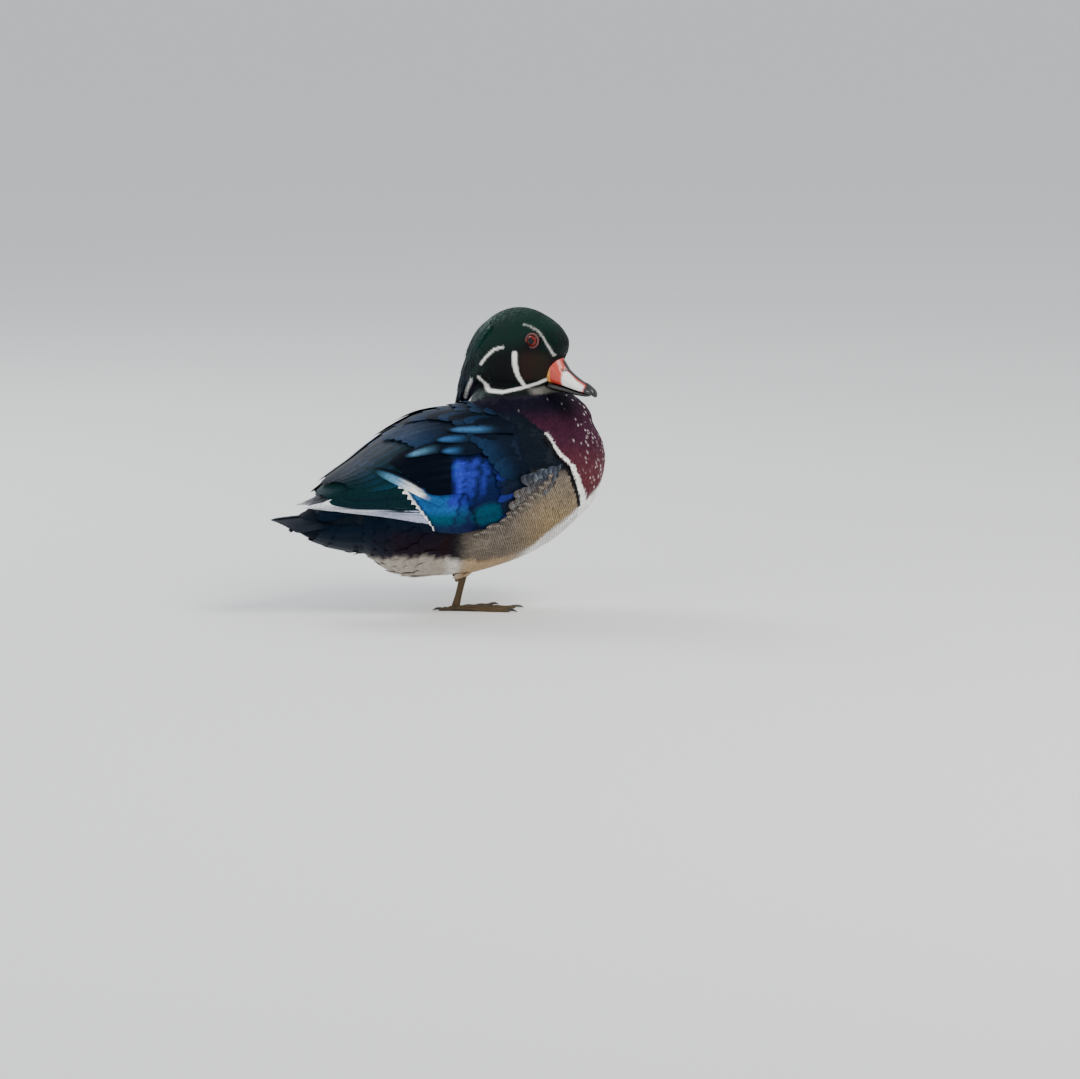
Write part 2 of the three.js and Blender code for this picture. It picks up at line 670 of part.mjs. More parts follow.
const PIECES = {
  trunk: [largest(joined([trunk(), ...flank(1), ...flank(-1)])), 0x5b3a30, 0.6],
  neck: [cut(lofted(neckForm, 10, 22), grownTrunk, grownHead, grownLower, grownCrest), 0x3a1c22, 0.6],
  head: [cut(joined([lofted(headForm, 17, 20), ...crest()]), ...eyes, grownTrunk), 0x0f3a30, 0.4],
  bill_upper: [cut(lofted(billUpperForm, 12, 14), grownHead, grownNail), 0xc9503a, 0.4],
  bill_lower: [cut(lofted(billLowerForm, 9, 12), grownHead, grownBill, grownNail), 0x15110f, 0.4],
  bill_nail: [nail, 0x0d0c0c, 0.35],
  eye_right: [eyeball(1), 0x8c1a12, 0.1],
  eye_left: [eyeball(-1), 0x8c1a12, 0.1],
  eyelid_right: [cut(eyelid(1), eyeball(1, GAP)), 0xb14a34, 0.5],
  eyelid_left: [cut(eyelid(-1), eyeball(-1, GAP)), 0xb14a34, 0.5],
  wing_right: [wingOf(1), 0x1d3550, 0.4],
  wing_left: [wingOf(-1), 0x1d3550, 0.4],
  tail: [cut(tail(), grownTrunk), 0x101b1b, 0.4],
  thigh_right: [cut(lofted(thighForm, 8, 14), grownTrunk, grownTarsus), 0xb9ada0, 0.7],
  tarsus_right: [cut(lofted(tarsusForm, 10, 10), grownTrunk), 0x4b3d24, 0.5],
  foot_right: [cut(foot(), grownTarsus, grownClaws), 0x5a4a2a, 0.5],
  tarsus_left: [cut(lofted(tuckedTarsusForm, 8, 10), grownTrunk), 0x4b3d24, 0.5],
  foot_left: [
    cut(lofted(tuckedFootForm, 10, 12), grownTrunk, lofted(tuckedTarsusForm, 8, 10, GAP), grownTuckedClaws),
    0x5a4a2a,
    0.5,
  ],
};
for (const t of TOES) PIECES[`claw_right_${t.name}`] = [claw(t), 0x14100c, 0.35];
for (const [name, aside] of Object.entries(TUCKED_CLAWS))
  PIECES[`claw_left_${name}`] = [cut(tuckedClaw(aside), grownTrunk), 0x14100c, 0.35];

function geometryOf(made) {
  const mesh = made.getMesh();
  const positions = new Float32Array(mesh.numVert * 3);
  for (let i = 0; i < mesh.numVert; i++)
    positions.set(mesh.vertProperties.subarray(i * mesh.numProp, i * mesh.numProp + 3), i * 3);
  const geometry = new THREE.BufferGeometry();
  geometry.setAttribute("position", new THREE.BufferAttribute(positions, 3));
  geometry.setIndex(new THREE.BufferAttribute(Uint32Array.from(mesh.triVerts), 1));
  return geometry;
}

const duck = new THREE.Group();
for (const [name, [made, color, roughness]] of Object.entries(PIECES)) {
  const mesh = new THREE.Mesh(geometryOf(made), new THREE.MeshStandardMaterial({ color, roughness }));
  mesh.name = name;
  duck.add(mesh);
}

export default duck;
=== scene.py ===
"""A drake wood duck resting on one leg, dressed over its solids with skin, feathers, bill, eyes and feet."""
import math
from itertools import product

import bmesh
import bpy
import numpy as np
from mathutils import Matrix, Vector


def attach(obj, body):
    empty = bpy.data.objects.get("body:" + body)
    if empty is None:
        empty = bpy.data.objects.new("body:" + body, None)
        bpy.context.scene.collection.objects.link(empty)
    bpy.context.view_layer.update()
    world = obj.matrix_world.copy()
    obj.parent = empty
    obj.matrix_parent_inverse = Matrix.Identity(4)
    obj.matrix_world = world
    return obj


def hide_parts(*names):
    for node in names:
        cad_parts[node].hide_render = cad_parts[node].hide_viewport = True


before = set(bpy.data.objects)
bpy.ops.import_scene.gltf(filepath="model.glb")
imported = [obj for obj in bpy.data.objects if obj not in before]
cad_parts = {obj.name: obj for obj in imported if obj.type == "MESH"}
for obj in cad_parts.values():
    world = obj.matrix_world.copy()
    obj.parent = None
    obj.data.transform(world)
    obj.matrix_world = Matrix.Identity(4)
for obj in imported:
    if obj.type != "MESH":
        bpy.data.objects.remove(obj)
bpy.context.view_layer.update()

# Sizes are in millimetres here and become metres when a mesh is made.
MM = 0.001
HEAD_AT = (52.5, -5.0)
HEAD_TURN = math.radians(-45)
EYE = {"forward": 22.0, "out": 16.2, "height": 223.5, "radius": 5.5}
NOSTRIL = {"forward": 44.5, "height": 199.5, "depth": 0.8}
FLOOR_SIZE = 60.0
SKIN_DEPTH = 1.8
VOXEL = 0.0016
LEG_VOXEL = 0.00042
LEG_ROUNDS = 3
SHARP_ANGLE = math.radians(55)
EYE_RING = {"radius": 5.6, "tube": 1.0, "out": 2.6, "rounds": 96, "sides": 20, "beads": 22}
PLATE_HEIGHT = 0.22

# Camera: the photograph's height above level and the body's turn away from a true side view.
CAMERA_AZIMUTH = math.radians(-15)
CAMERA_ELEVATION = math.radians(8)
CAMERA_DISTANCE = 4.0
MM_PER_PIXEL = 0.82
PHOTO_WIDTH = 1080
FOOT_PIXEL = (457, 610)
PHOTO_CENTRE = (540, 539.5)

# Stations of the main forms: place along, top, bottom, height of the widest line, half width and, where it
# isn't 0, the shift to the right.
TRUNK = [
    (125.8, 124, 124, 124, 0),
    (122, 141, 104, 123, 18),
    (113, 157, 85, 120, 33),
    (97, 166, 69.5, 115, 44.5),
    (78, 168, 54.5, 110, 51),
    (57, 168, 43.5, 106, 54),
    (35, 169, 36, 103, 55),
    (10, 168.5, 30, 100, 54.5),
    (-15, 165, 28.5, 97, 52),
    (-38, 157, 29.5, 94, 46.5),
    (-55, 144, 33.5, 91, 40),
    (-69, 131, 43.5, 88, 33),
    (-84, 118, 54.5, 84, 26),
    (-97, 103, 64, 81, 17),
    (-104, 81, 81, 81, 0),
]
WING_FORM = [
    (92, 142, 80, 112, 34),
    (80, 158, 68, 112, 48),
    (60, 169, 52, 110, 57),
    (30, 173, 42, 106, 60),
    (0, 170, 38, 102, 60),
    (-20, 166, 40, 100, 58),
    (-34, 162, 46, 98, 55),
    (-48, 155, 54, 96, 51),
    (-60.5, 147.5, 62, 94, 46.5),
    (-77, 136, 70, 92, 39.5),
    (-89, 126.5, 74, 91, 33.5),
    (-106, 115, 79, 90.5, 25.5),
    (-120, 104.5, 83, 90.5, 18.5),
    (-131, 97, 86, 90, 12.5),
    (-142, 92, 87, 89.5, 8),
]
NECK = [
    (138, 62, 62, 62, 0),
    (142, 106, 14, 62, 34),
    (157, 115, 6, 62, 40),
    (168, 109, 6, 60, 36),
    (177, 99, 12, 57, 31),
    (186, 84, 24, 54, 25),
    (192, 54, 54, 54, 0),
]
HEAD = [
    (44.5, 220, 220, 220, 0),
    (42.5, 227, 211, 220, 8.5),
    (37, 234.5, 202, 218, 14.5),
    (31, 239.5, 188, 214, 18),
    (24, 243.5, 181.5, 211, 20.5),
    (13, 248, 179.8, 208, 22.8),
    (1, 249.7, 179.5, 206, 24),
    (-12, 247.8, 180, 204, 24),
    (-25, 241.5, 181, 203, 22, 0.5),
    (-36, 230, 178, 200, 18, 1.5),
    (-44, 213, 173, 192, 13.5, 3),
    (-49, 196, 169, 182, 9.5, 5),
    (-53, 182, 168, 175, 6, 7.5),
    (-55, 171, 171, 171, 0, 9),
]
CREST = [
    (246, 12, -16, -2, 12),
    (238, 10, -28, -6, 17),
    (230, 4, -37, -14, 19),
    (220, -4, -42.8, -21, 19, 0.5),
    (210, -12, -46.8, -28, 17, 1),
    (200, -20, -50.2, -34, 14.5, 2),
    (190, -27, -53.2, -40, 12, 3),
    (180, -33, -55.6, -44, 9.8, 4),
    (170, -38, -57.6, -48, 8, 5),
    (160, -42, -59, -51, 7, 6),
]
BILL_UPPER = [
    (22, 202, 202, 202, 0),
    (29, 216, 189.8, 203, 9.5),
    (35, 213.8, 188.5, 199.5, 10.6),
    (40, 208.5, 187.4, 196.5, 10.2),
    (46, 200, 186, 192, 9.4),
    (55, 193, 183.5, 187.8, 8.8),
    (62.5, 189, 181.6, 184.8, 8.2),
    (67.5, 185.2, 180.2, 182.6, 6.2),
    (69.8, 182, 182, 182, 0),
]
BILL_NAIL = [
    (60, 186.8, 186.8, 186.8, 0),
    (62, 189.8, 184.5, 187, 3),
    (66, 187.4, 181, 184.5, 4.2),
    (69.5, 184.6, 178.4, 181.6, 3.9),
    (71, 181.5, 178.2, 180, 2.2),
    (71.4, 179.6, 179.6, 179.6, 0),
]
BILL_LOWER = [
    (24, 185, 185, 185, 0),
    (31, 189, 182.4, 185.8, 8.6),
    (45, 186.2, 180.4, 183.4, 8),
    (57, 183, 178.8, 181, 7),
    (63.5, 181.5, 178.4, 180, 5),
    (66, 179.6, 179.6, 179.6, 0),
]
TAIL_BASE = [
    (-70, 84, 84, 84, 0),
    (-76, 121, 51.5, 84, 25),
    (-88, 115, 51, 82, 26.5),
    (-101, 105, 54, 80, 23.5),
    (-115, 95, 58.5, 77, 19.5),
    (-129, 86, 65.5, 76, 14.5),
    (-138, 75, 75, 75, 0),
]
TARSUS = [
    (-0.8, 0, 0, 0, 0),
    (0.4, 3, -3, 0, 2.8),
    (5, 3.1, -3.1, 0, 2.8),
    (12, 2.7, -2.7, 0, 2.2),
    (24, 2.8, -2.8, 0, 2.3),
    (34, 3.3, -3.3, 0, 2.9),
    (42, 3.6, -3.9, 0, 3.3),
    (46, 0, 0, 0, 0),
]
THIGH = [
    (26.5, 0, 0, 0, 0),
    (28, 4.6, -4.8, 0, 4.4),
    (33, 8, -8, 0, 7.2),
    (42, 14, -13, 0, 11),
    (50, 16, -15, 0, 12),
    (56, 0, 0, 0, 0),
]
LEG_FOOT = np.array([-2.0, -2.0, 2.0])
LEG_ANKLE = np.array([4.5, -17.0, 44.0])
LEG_AXIS = (LEG_ANKLE - LEG_FOOT) / np.linalg.norm(LEG_ANKLE - LEG_FOOT)
# The toes of the standing foot: degrees from straight ahead, length and half width at the root.
TOES = {"outer": (-27, 45, 3.1), "middle": (-1, 50, 3.3), "inner": (25, 39, 3.0), "hind": (172, 13, 2.4)}
TOE_HEIGHT = 4.2
WEB_THICKNESS = 1.3
TUCKED_OUT = 25
TUCKED_TARSUS = [
    (16, 36, 36, 36, 0),
    (14, 39.5, 31, 35.5, 3.6),
    (4, 37, 29, 33, 2.8),
    (-10, 36, 28.3, 32, 2.6),
    (-20, 37, 28, 33, 3.4),
    (-23, 33, 33, 33, 0),
]
TUCKED_FOOT = [
    (-18, 33, 33, 33, 0, 0),
    (-21, 38, 27.6, 33, 4.6, 0),
    (-30, 40, 29, 34.5, 6.2, 1),
    (-46, 44, 33, 38.5, 6.4, 2),
    (-58, 50, 39.5, 45, 4.6, 2.6),
    (-64, 48.5, 48.5, 48.5, 0, 3),
]
TUCKED_CLAWS = {"outer": 4.2, "middle": 1.4, "inner": -1.4}
WING_TOP = [(85, 46), (50, 33), (20, 27), (-20, 16), (-50, 8), (-80, 6), (-134, 12)]
WING_EDGE = [(85, 88), (50, 108), (20, 122), (-4, 121), (-37, 117), (-60, 108), (-97, 97), (-134, 88)]


# Forms


def mix(a, b, t):
    return a + (b - a) * t


def smooth(x, low, high):
    t = np.clip((x - low) / (high - low), 0, 1)
    return t * t * (3 - 2 * t)


def body_frame(along, out, up):
    return np.stack([along, -out, up], -1)


def standing_frame(along, out, up):
    return np.stack([up, -out, along], -1)


def head_frame(along, out, up):
    c, s = math.cos(HEAD_TURN), math.sin(HEAD_TURN)
    return np.stack([HEAD_AT[0] + c * along + s * out, HEAD_AT[1] + s * along - c * out, up], -1)


def leg_frame(along, out, up):
    side = np.array([0.0, -1.0, 0.0])
    front = -np.cross(side, LEG_AXIS)
    front /= np.linalg.norm(front)
    return LEG_FOOT + along[..., None] * LEG_AXIS + out[..., None] * side + up[..., None] * front


def toe_frame(degrees):
    """The frame of a toe that points so many degrees to the left of straight ahead."""
    c, s = math.cos(math.radians(degrees)), math.sin(math.radians(degrees))

    def place(along, out, up):
        x, y = LEG_FOOT[0] + c * along + s * out, LEG_FOOT[1] + s * along - c * out
        return np.stack([x, y, up + 0.0 * along], -1)

    return place


def tucked_frame(along, out, up):
    return np.stack([along, TUCKED_OUT - out, up], -1)


def eye_middle(side):
    return head_frame(EYE["forward"], side * EYE["out"], EYE["height"])


def head_places(p):
    """Forward, out to the right and height of points, seen from the turned head."""
    c, s = math.cos(HEAD_TURN), math.sin(HEAD_TURN)
    x, y = p[:, 0] - HEAD_AT[0], p[:, 1] - HEAD_AT[1]
    return c * x + s * y, s * x - c * y, p[:, 2]


class Form:
    """A table of stations with its frame, and how square its upper and lower halves are."""

    def __init__(self, table, place, crown=2.0, keel=2.0, swell=None):
        self.rows = np.array([tuple(row) + (0,) * (6 - len(row)) for row in table], float)
        self.place, self.crown, self.keel, self.swell = place, crown, keel, swell
        self.count = len(table)
        self.closed = self.rows[0, 4] == 0
        ends = []
        for end, near in ((self.rows[0], self.rows[1]), (self.rows[-1], self.rows[-2])):
            if end[4] == 0:
                ends.append(np.array([near[0], near[2], near[1], near[3], -near[4], near[5]]))
            else:
                ends.append(2 * end - near)
        self.full = np.vstack([ends[0], self.rows, ends[1]])
        u = np.linspace(0, self.count - 1, 800)
        along = self.at(u)[:, 0]
        order = np.argsort(along)
        self.lookup = (along[order], u[order])

    def at(self, u):
        i = np.clip(np.floor(u).astype(int), 0, self.count - 2)
        t = (u - i)[..., None]
        a, b, c, d = (self.full[i + k] for k in range(4))
        return b + 0.5 * t * (c - a + t * (2 * a - 5 * b + 4 * c - d + t * (3 * (b - c) + d - a)))

    def place_of(self, along):
        return np.interp(along, *self.lookup)

    def point(self, u, angle, lift=0.0):
        """Points at places u and angles from the top round to the bird's right, raised by lift."""
        u, angle, lift = np.broadcast_arrays(np.asarray(u, float), angle, lift)
        along, top, bottom, middle, half, aside = np.moveaxis(self.at(u), -1, 0)
        share = u / (self.count - 1)
        radial, axial = np.ones_like(u), np.zeros_like(u)
        if self.closed:
            radial = np.sqrt(np.maximum(0, np.sin(np.pi * share)))
            axial = np.sign(self.rows[0, 0] - self.rows[1, 0]) * np.cos(np.pi * share)
        rise = lift * radial
        if self.swell:
            rise = rise + self.swell(along, angle) * radial
        c, s = np.cos(angle), np.sin(angle)
        power = np.where(c > 0, 2 / self.crown, 2 / self.keel)
        reach = np.where(c > 0, top - middle, middle - bottom)
        return self.place(
            along + lift * axial,
            (half + rise) * np.sign(s) * np.abs(s) ** power + aside,
            middle + (reach + rise) * np.sign(c) * np.abs(c) ** power,
        )


def flank_swell(along, angle):
    across = (np.abs(angle) - math.radians(103)) / math.radians(34)
    down = (along - 60) / 37
    return 4.6 * np.exp(-(across**4) - down**4)


trunk_form = Form(TRUNK, body_frame, 2, 2.25, flank_swell)
wing_form = Form(WING_FORM, body_frame)
neck_form = Form(NECK, standing_frame)
head_form = Form(HEAD, head_frame, 2.1, 2.2)
crest_form = Form(CREST, lambda along, out, up: head_frame(up, out, along))
bill_upper_form = Form(BILL_UPPER, head_frame, 1.5, 4)
bill_lower_form = Form(BILL_LOWER, head_frame, 4, 2)
bill_nail_form = Form(BILL_NAIL, head_frame)
tail_form = Form(TAIL_BASE, body_frame)


def table_at(table, x):
    """A two-column table, read at x."""
    rows = np.array(table, float)[::-1]
    return np.interp(x, rows[:, 0], rows[:, 1])


# Meshes


def mesh_piece(name, points, faces):
    """A piece from points in millimetres, at the origin."""
    mesh = bpy.data.meshes.new(name)
    mesh.from_pydata((np.asarray(points) * MM).tolist(), [], [list(f) for f in faces])
    mesh.update()
    mesh.shade_smooth()
    piece = bpy.data.objects.new(name, mesh)
    bpy.context.scene.collection.objects.link(piece)
    return piece


def grid_faces(rows, columns, closed=False, flip=False):
    """Quads over a grid of points, row by row; closed joins the last column to the first."""
    last = columns if closed else columns - 1
    i, j = np.meshgrid(np.arange(rows - 1), np.arange(last), indexing="ij")
    here, there = i * columns, (i + 1) * columns
    right = (j + 1) % columns
    quads = np.stack([here + j, there + j, there + right, here + right], -1).reshape(-1, 4)
    return quads[:, ::-1] if flip else quads


def sheet_faces(rows, columns, flip=False):
    """Faces of a closed sheet: its upper grid of points, its lower one, and the rim between them."""
    count = rows * columns
    rim = [r * columns for r in range(rows)] + [(rows - 1) * columns + k for k in range(1, columns)]
    rim += [r * columns + columns - 1 for r in range(rows - 2, -1, -1)]
    rim = np.array(rim + list(range(columns - 2, 0, -1)))
    there = np.roll(rim, -1)
    sides = [rim, rim + count, there + count, there]
    if flip:
        sides = sides[:1] + sides[:0:-1]
    upper, lower = grid_faces(rows, columns, flip=flip), grid_faces(rows, columns, flip=not flip)
    return np.vstack([upper, lower + count, np.stack(sides, -1)])


def outward(piece, weld=True):
    """Turns a closed piece's faces outwards; weld first makes doubled points one."""
    work = bmesh.new()
    work.from_mesh(piece.data)
    if weld:
        bmesh.ops.remove_doubles(work, verts=work.verts, dist=1e-6)
    bmesh.ops.recalc_face_normals(work, faces=work.faces)
    work.to_mesh(piece.data)
    work.free()
    piece.data.update()
    return piece


def capped(name, body, ends, sides):
    """A closed piece of rings of points, each with so many sides, and a pole at either end."""
    first, final, base = len(body), len(body) + 1, len(body) - sides
    faces = grid_faces(len(body) // sides, sides, closed=True).tolist()
    for k in range(sides):
        n = (k + 1) % sides
        faces += [[first, k, n], [final, base + n, base + k]]
    return outward(mesh_piece(name, np.vstack([body, ends]), faces))


def loft(name, form, rings, sides, lift=0.0):
    """A closed form as a mesh of rings, closer together towards its poles."""
    last = form.count - 1
    share = 0.5 - 0.5 * np.cos(np.pi * np.linspace(0, 1, rings + 1))
    angle = np.linspace(0, 2 * np.pi, sides, endpoint=False)
    u, a = np.meshgrid(share[1:-1] * last, angle, indexing="ij")
    body = form.point(u, a, lift).reshape(-1, 3)
    ends = form.point(np.array([0.0, last]), np.array([0.0, 0.0]), lift)
    return capped(name, body, ends, sides)


def ball(name, middle, radius, rings, sides):
    u = np.linspace(0, np.pi, rings + 1)[1:-1]
    v = np.linspace(0, 2 * np.pi, sides, endpoint=False)
    u, v = np.meshgrid(u, v, indexing="ij")
    body = np.stack([np.sin(u) * np.cos(v), np.sin(u) * np.sin(v), np.cos(u)], -1).reshape(-1, 3)
    return capped(name, body * radius + middle, np.array([[0, 0, 1], [0, 0, -1]]) * radius + middle, sides)


def values_of(rows, name, size=3):
    """One value of a mesh's points or edges, as rows of so many numbers."""
    flat = np.empty(len(rows) * size, np.int64 if name == "vertices" else float)
    rows.foreach_get(name, flat)
    return flat.reshape(-1, size)


def points_of(piece):
    return values_of(piece.data.vertices, "co") / MM


def normals_of(piece):
    return values_of(piece.data.vertices, "normal")


def move_points(piece, points):
    piece.data.vertices.foreach_set("co", (points * MM).ravel())
    piece.data.update()


def paint(piece, colours):
    """Sets a colour for each point of a piece, in linear values."""
    layer = piece.data.color_attributes.new("tint", "FLOAT_COLOR", "POINT")
    rgba = np.ones((len(colours), 4), np.float32)
    rgba[:, :3] = np.clip(colours, 0, 1)
    layer.data.foreach_set("color", rgba.ravel())


def paint_plain(piece, text):
    paint(piece, spread_over(piece.data.vertices, tone(text)))


def bake_map(piece, places):
    """The unwrap map that the coat's pieces carry, from a place for each point."""
    layer = piece.data.uv_layers.new(name="OFBake")
    corners = np.empty(len(piece.data.loops), np.int32)
    piece.data.loops.foreach_get("vertex_index", corners)
    layer.data.foreach_set("uv", places[corners].astype(np.float32).ravel())


def crisp(piece):
    """Keeps thin edges from shading round."""
    piece.data.shade_smooth()
    piece.data.set_sharp_from_angle(angle=SHARP_ANGLE)


def number_on(piece, values, name):
    layer = piece.data.attributes.new(name, "FLOAT", "POINT")
    layer.data.foreach_set("value", np.asarray(values, np.float32))


def joined(name, pieces):
    """Several pieces made one."""
    bpy.ops.object.select_all(action="DESELECT")
    for piece in pieces:
        piece.select_set(True)
    bpy.context.view_layer.objects.active = pieces[0]
    bpy.ops.object.join()
    pieces[0].name = name
    pieces[0].data.name = name
    return pieces[0]


def fused(name, pieces, voxel, rounds=0):
    """Pieces made one closed skin, its stair steps smoothed away in so many rounds."""
    whole = joined(name, pieces)
    fuse = whole.modifiers.new("fuse", "REMESH")
    fuse.mode = "VOXEL"
    fuse.voxel_size = voxel
    if rounds:
        ease = whole.modifiers.new("ease", "SMOOTH")
        ease.factor = 0.5
        ease.iterations = rounds
    graph = bpy.context.evaluated_depsgraph_get()
    mesh = bpy.data.meshes.new_from_object(whole.evaluated_get(graph))
    whole.modifiers.clear()
    whole.data = mesh
    mesh.name = name
    return whole


# Colours, in linear values


def tone(text):
    """A colour from six hexadecimal digits."""
    srgb = np.array([int(text[k : k + 2], 16) / 255 for k in (0, 2, 4)])
    return np.where(srgb <= 0.04045, srgb / 12.92, ((srgb + 0.055) / 1.055) ** 2.4)


WHITE = tone("f2f0ea")
BLACK = tone("050609")
CROWN_GREEN = tone("05211a")
CREST_TEAL = tone("04181f")
CREST_PURPLE = tone("120e28")
CHEEK_BROWN = tone("24130f")
COLLAR = tone("0d0c1a")
MAROON = tone("38182a")
CHESTNUT = tone("54282f")
FLECK = tone("e2d6d2")
FLANK_GREY = tone("776c5f")
FLANK_BUFF = tone("98825f")
# the white belly as it looks in shade: painted shade
SHADED_BELLY_GREY = tone("a2988b")
BELLY_TAN = tone("a98f70")
BACK = tone("0a131c")
BACK_BLUE = tone("11263e")
RUMP = tone("07121b")
# the rump side's real maroon, darkened with painted shade
SHADED_RUMP_MAROON = tone("1a0e12")


def near_line(x, y, line):
    """Distance of places to a broken line, and how far along it they are, from 0 to 1."""
    line = np.array(line, float)
    best = np.full(x.shape, 1e9)
    along = np.zeros(x.shape)
    lengths = np.hypot(*(line[1:] - line[:-1]).T)
    total = lengths.sum()
    run = 0.0
    for (x0, y0), (x1, y1), length in zip(line[:-1], line[1:], lengths):
        t = np.clip(((x - x0) * (x1 - x0) + (y - y0) * (y1 - y0)) / length**2, 0, 1)
        gap = np.hypot(x - mix(x0, x1, t), y - mix(y0, y1, t))
        closer = gap < best
        best = np.where(closer, gap, best)
        along = np.where(closer, (run + t * length) / total, along)
        run += length
    return best, along


def spread_over(p, colour):
    """One colour for every point."""
    return np.tile(colour, (len(p), 1))


def lay(base, colour, share):
    """Lays a colour over others by shares."""
    share = np.clip(np.broadcast_to(share, len(base)), 0, 1)[:, None]
    return base * (1 - share) + np.asarray(colour) * share


def band(distance, half, soft=0.5):
    return 1 - smooth(distance, half - soft, half + soft)


# The head's white lines, each as forward and height from the turned head.
BROW_LINE = [(38, 212), (35.4, 218), (30.6, 226), (25, 231.5), (17.5, 235), (12, 236)]
EYE_LINE = [(-3, 217.5), (-11.5, 215.2), (-20, 208), (-24.7, 202.5)]
CREST_LINE = [(-37, 188), (-42.5, 180), (-47.5, 172)]
CHIN_STRAP = [(34, 193.5), (24, 188.5), (10.4, 184.2), (-2, 181), (-14.5, 181.5), (-24.5, 185.5), (-29, 191)]
CHEEK_BAR = [(7.6, 212.5), (7.8, 204), (9.3, 194.5), (12.2, 186)]
NAPE_PATCH = [(-36, 175.5), (-32.5, 170)]


def head_colour(p):
    f, out, z = head_places(p)
    crown = 210 + 0.2 * f + 8 * smooth(f, 5, 30)
    c = spread_over(p, BLACK)
    c = lay(c, CROWN_GREEN, smooth(z, crown - 2, crown + 16))
    c = lay(c, CREST_TEAL, smooth(-f, 18, 40) * smooth(z, 190, 214) * 0.8)
    c = lay(c, CREST_PURPLE, smooth(-f, 26, 44) * (1 - smooth(z, 184, 202)) * 0.8)
    cheek = smooth(f, 9, 15) * (1 - smooth(f, 30, 38)) * (1 - smooth(z, 208, 219)) * smooth(z, 188, 193)
    c = lay(c, CHEEK_BROWN, cheek)
    # the pale throat, between the ends of the strap, greyed towards the belly's painted shade
    below = 184.5 - 0.02 * f + 3.5 * smooth(f, 18, 34)
    throat = smooth(f, 4, 14) * band(z, below, 1.2) * (1 - smooth(f, 38, 40))
    c = lay(c, mix(WHITE, SHADED_BELLY_GREY, 0.8), 0.35 * throat * band(np.abs(out), 13, 3))
    for line, wide, narrow, strength in (
        (BROW_LINE, 0.7, 0.3, 0.55),
        (EYE_LINE, 0.7, 1.2, 1.0),
        (CREST_LINE, 1.2, 0.7, 1.0),
        (CHIN_STRAP, 0.9, 1.4, 1.0),
        (CHEEK_BAR, 2.2, 1.6, 1.0),
        (NAPE_PATCH, 0.8, 2.6, 0.6),
    ):
        gap, along = near_line(f, z, line)
        c = lay(c, WHITE, band(gap, mix(wide, narrow, along), 0.55) * strength)
    return c


# Height of the belly's upper edge along the body.
BELLY_EDGE = [(126, 118), (119, 111), (112, 103), (105, 97.5), (95, 90.5), (80, 78.5), (68, 69.5)]
BELLY_EDGE += [(57, 57.5), (48, 52), (28, 47), (10, 46), (-10, 48), (-40, 51), (-70, 48), (-90, 44)]
BREAST_BAR = [(66, 148), (70, 142), (77, 131), (85, 124), (93, 105), (98.5, 90)]


def breast_front(p):
    """How far ahead of the white bar places lie, in millimetres along the body."""
    z = p[:, 2]
    bar_x = np.interp(z, [80, 90, 105, 124, 131, 142, 150, 175], [100, 98.5, 93, 85, 77, 70, 64, 38])
    return p[:, 0] - bar_x


def flank_share(p):
    """How far points belong to the fine-barred flanks, from 0 to 1."""
    x, y, z = p.T
    ahead = breast_front(p)
    rear = smooth(x, -16, 12) * smooth(z, 40, 52)
    return rear * (1 - smooth(ahead, -7, -4)) * (1 - smooth(z, 113, 122)) * smooth(np.abs(y), 18, 30)


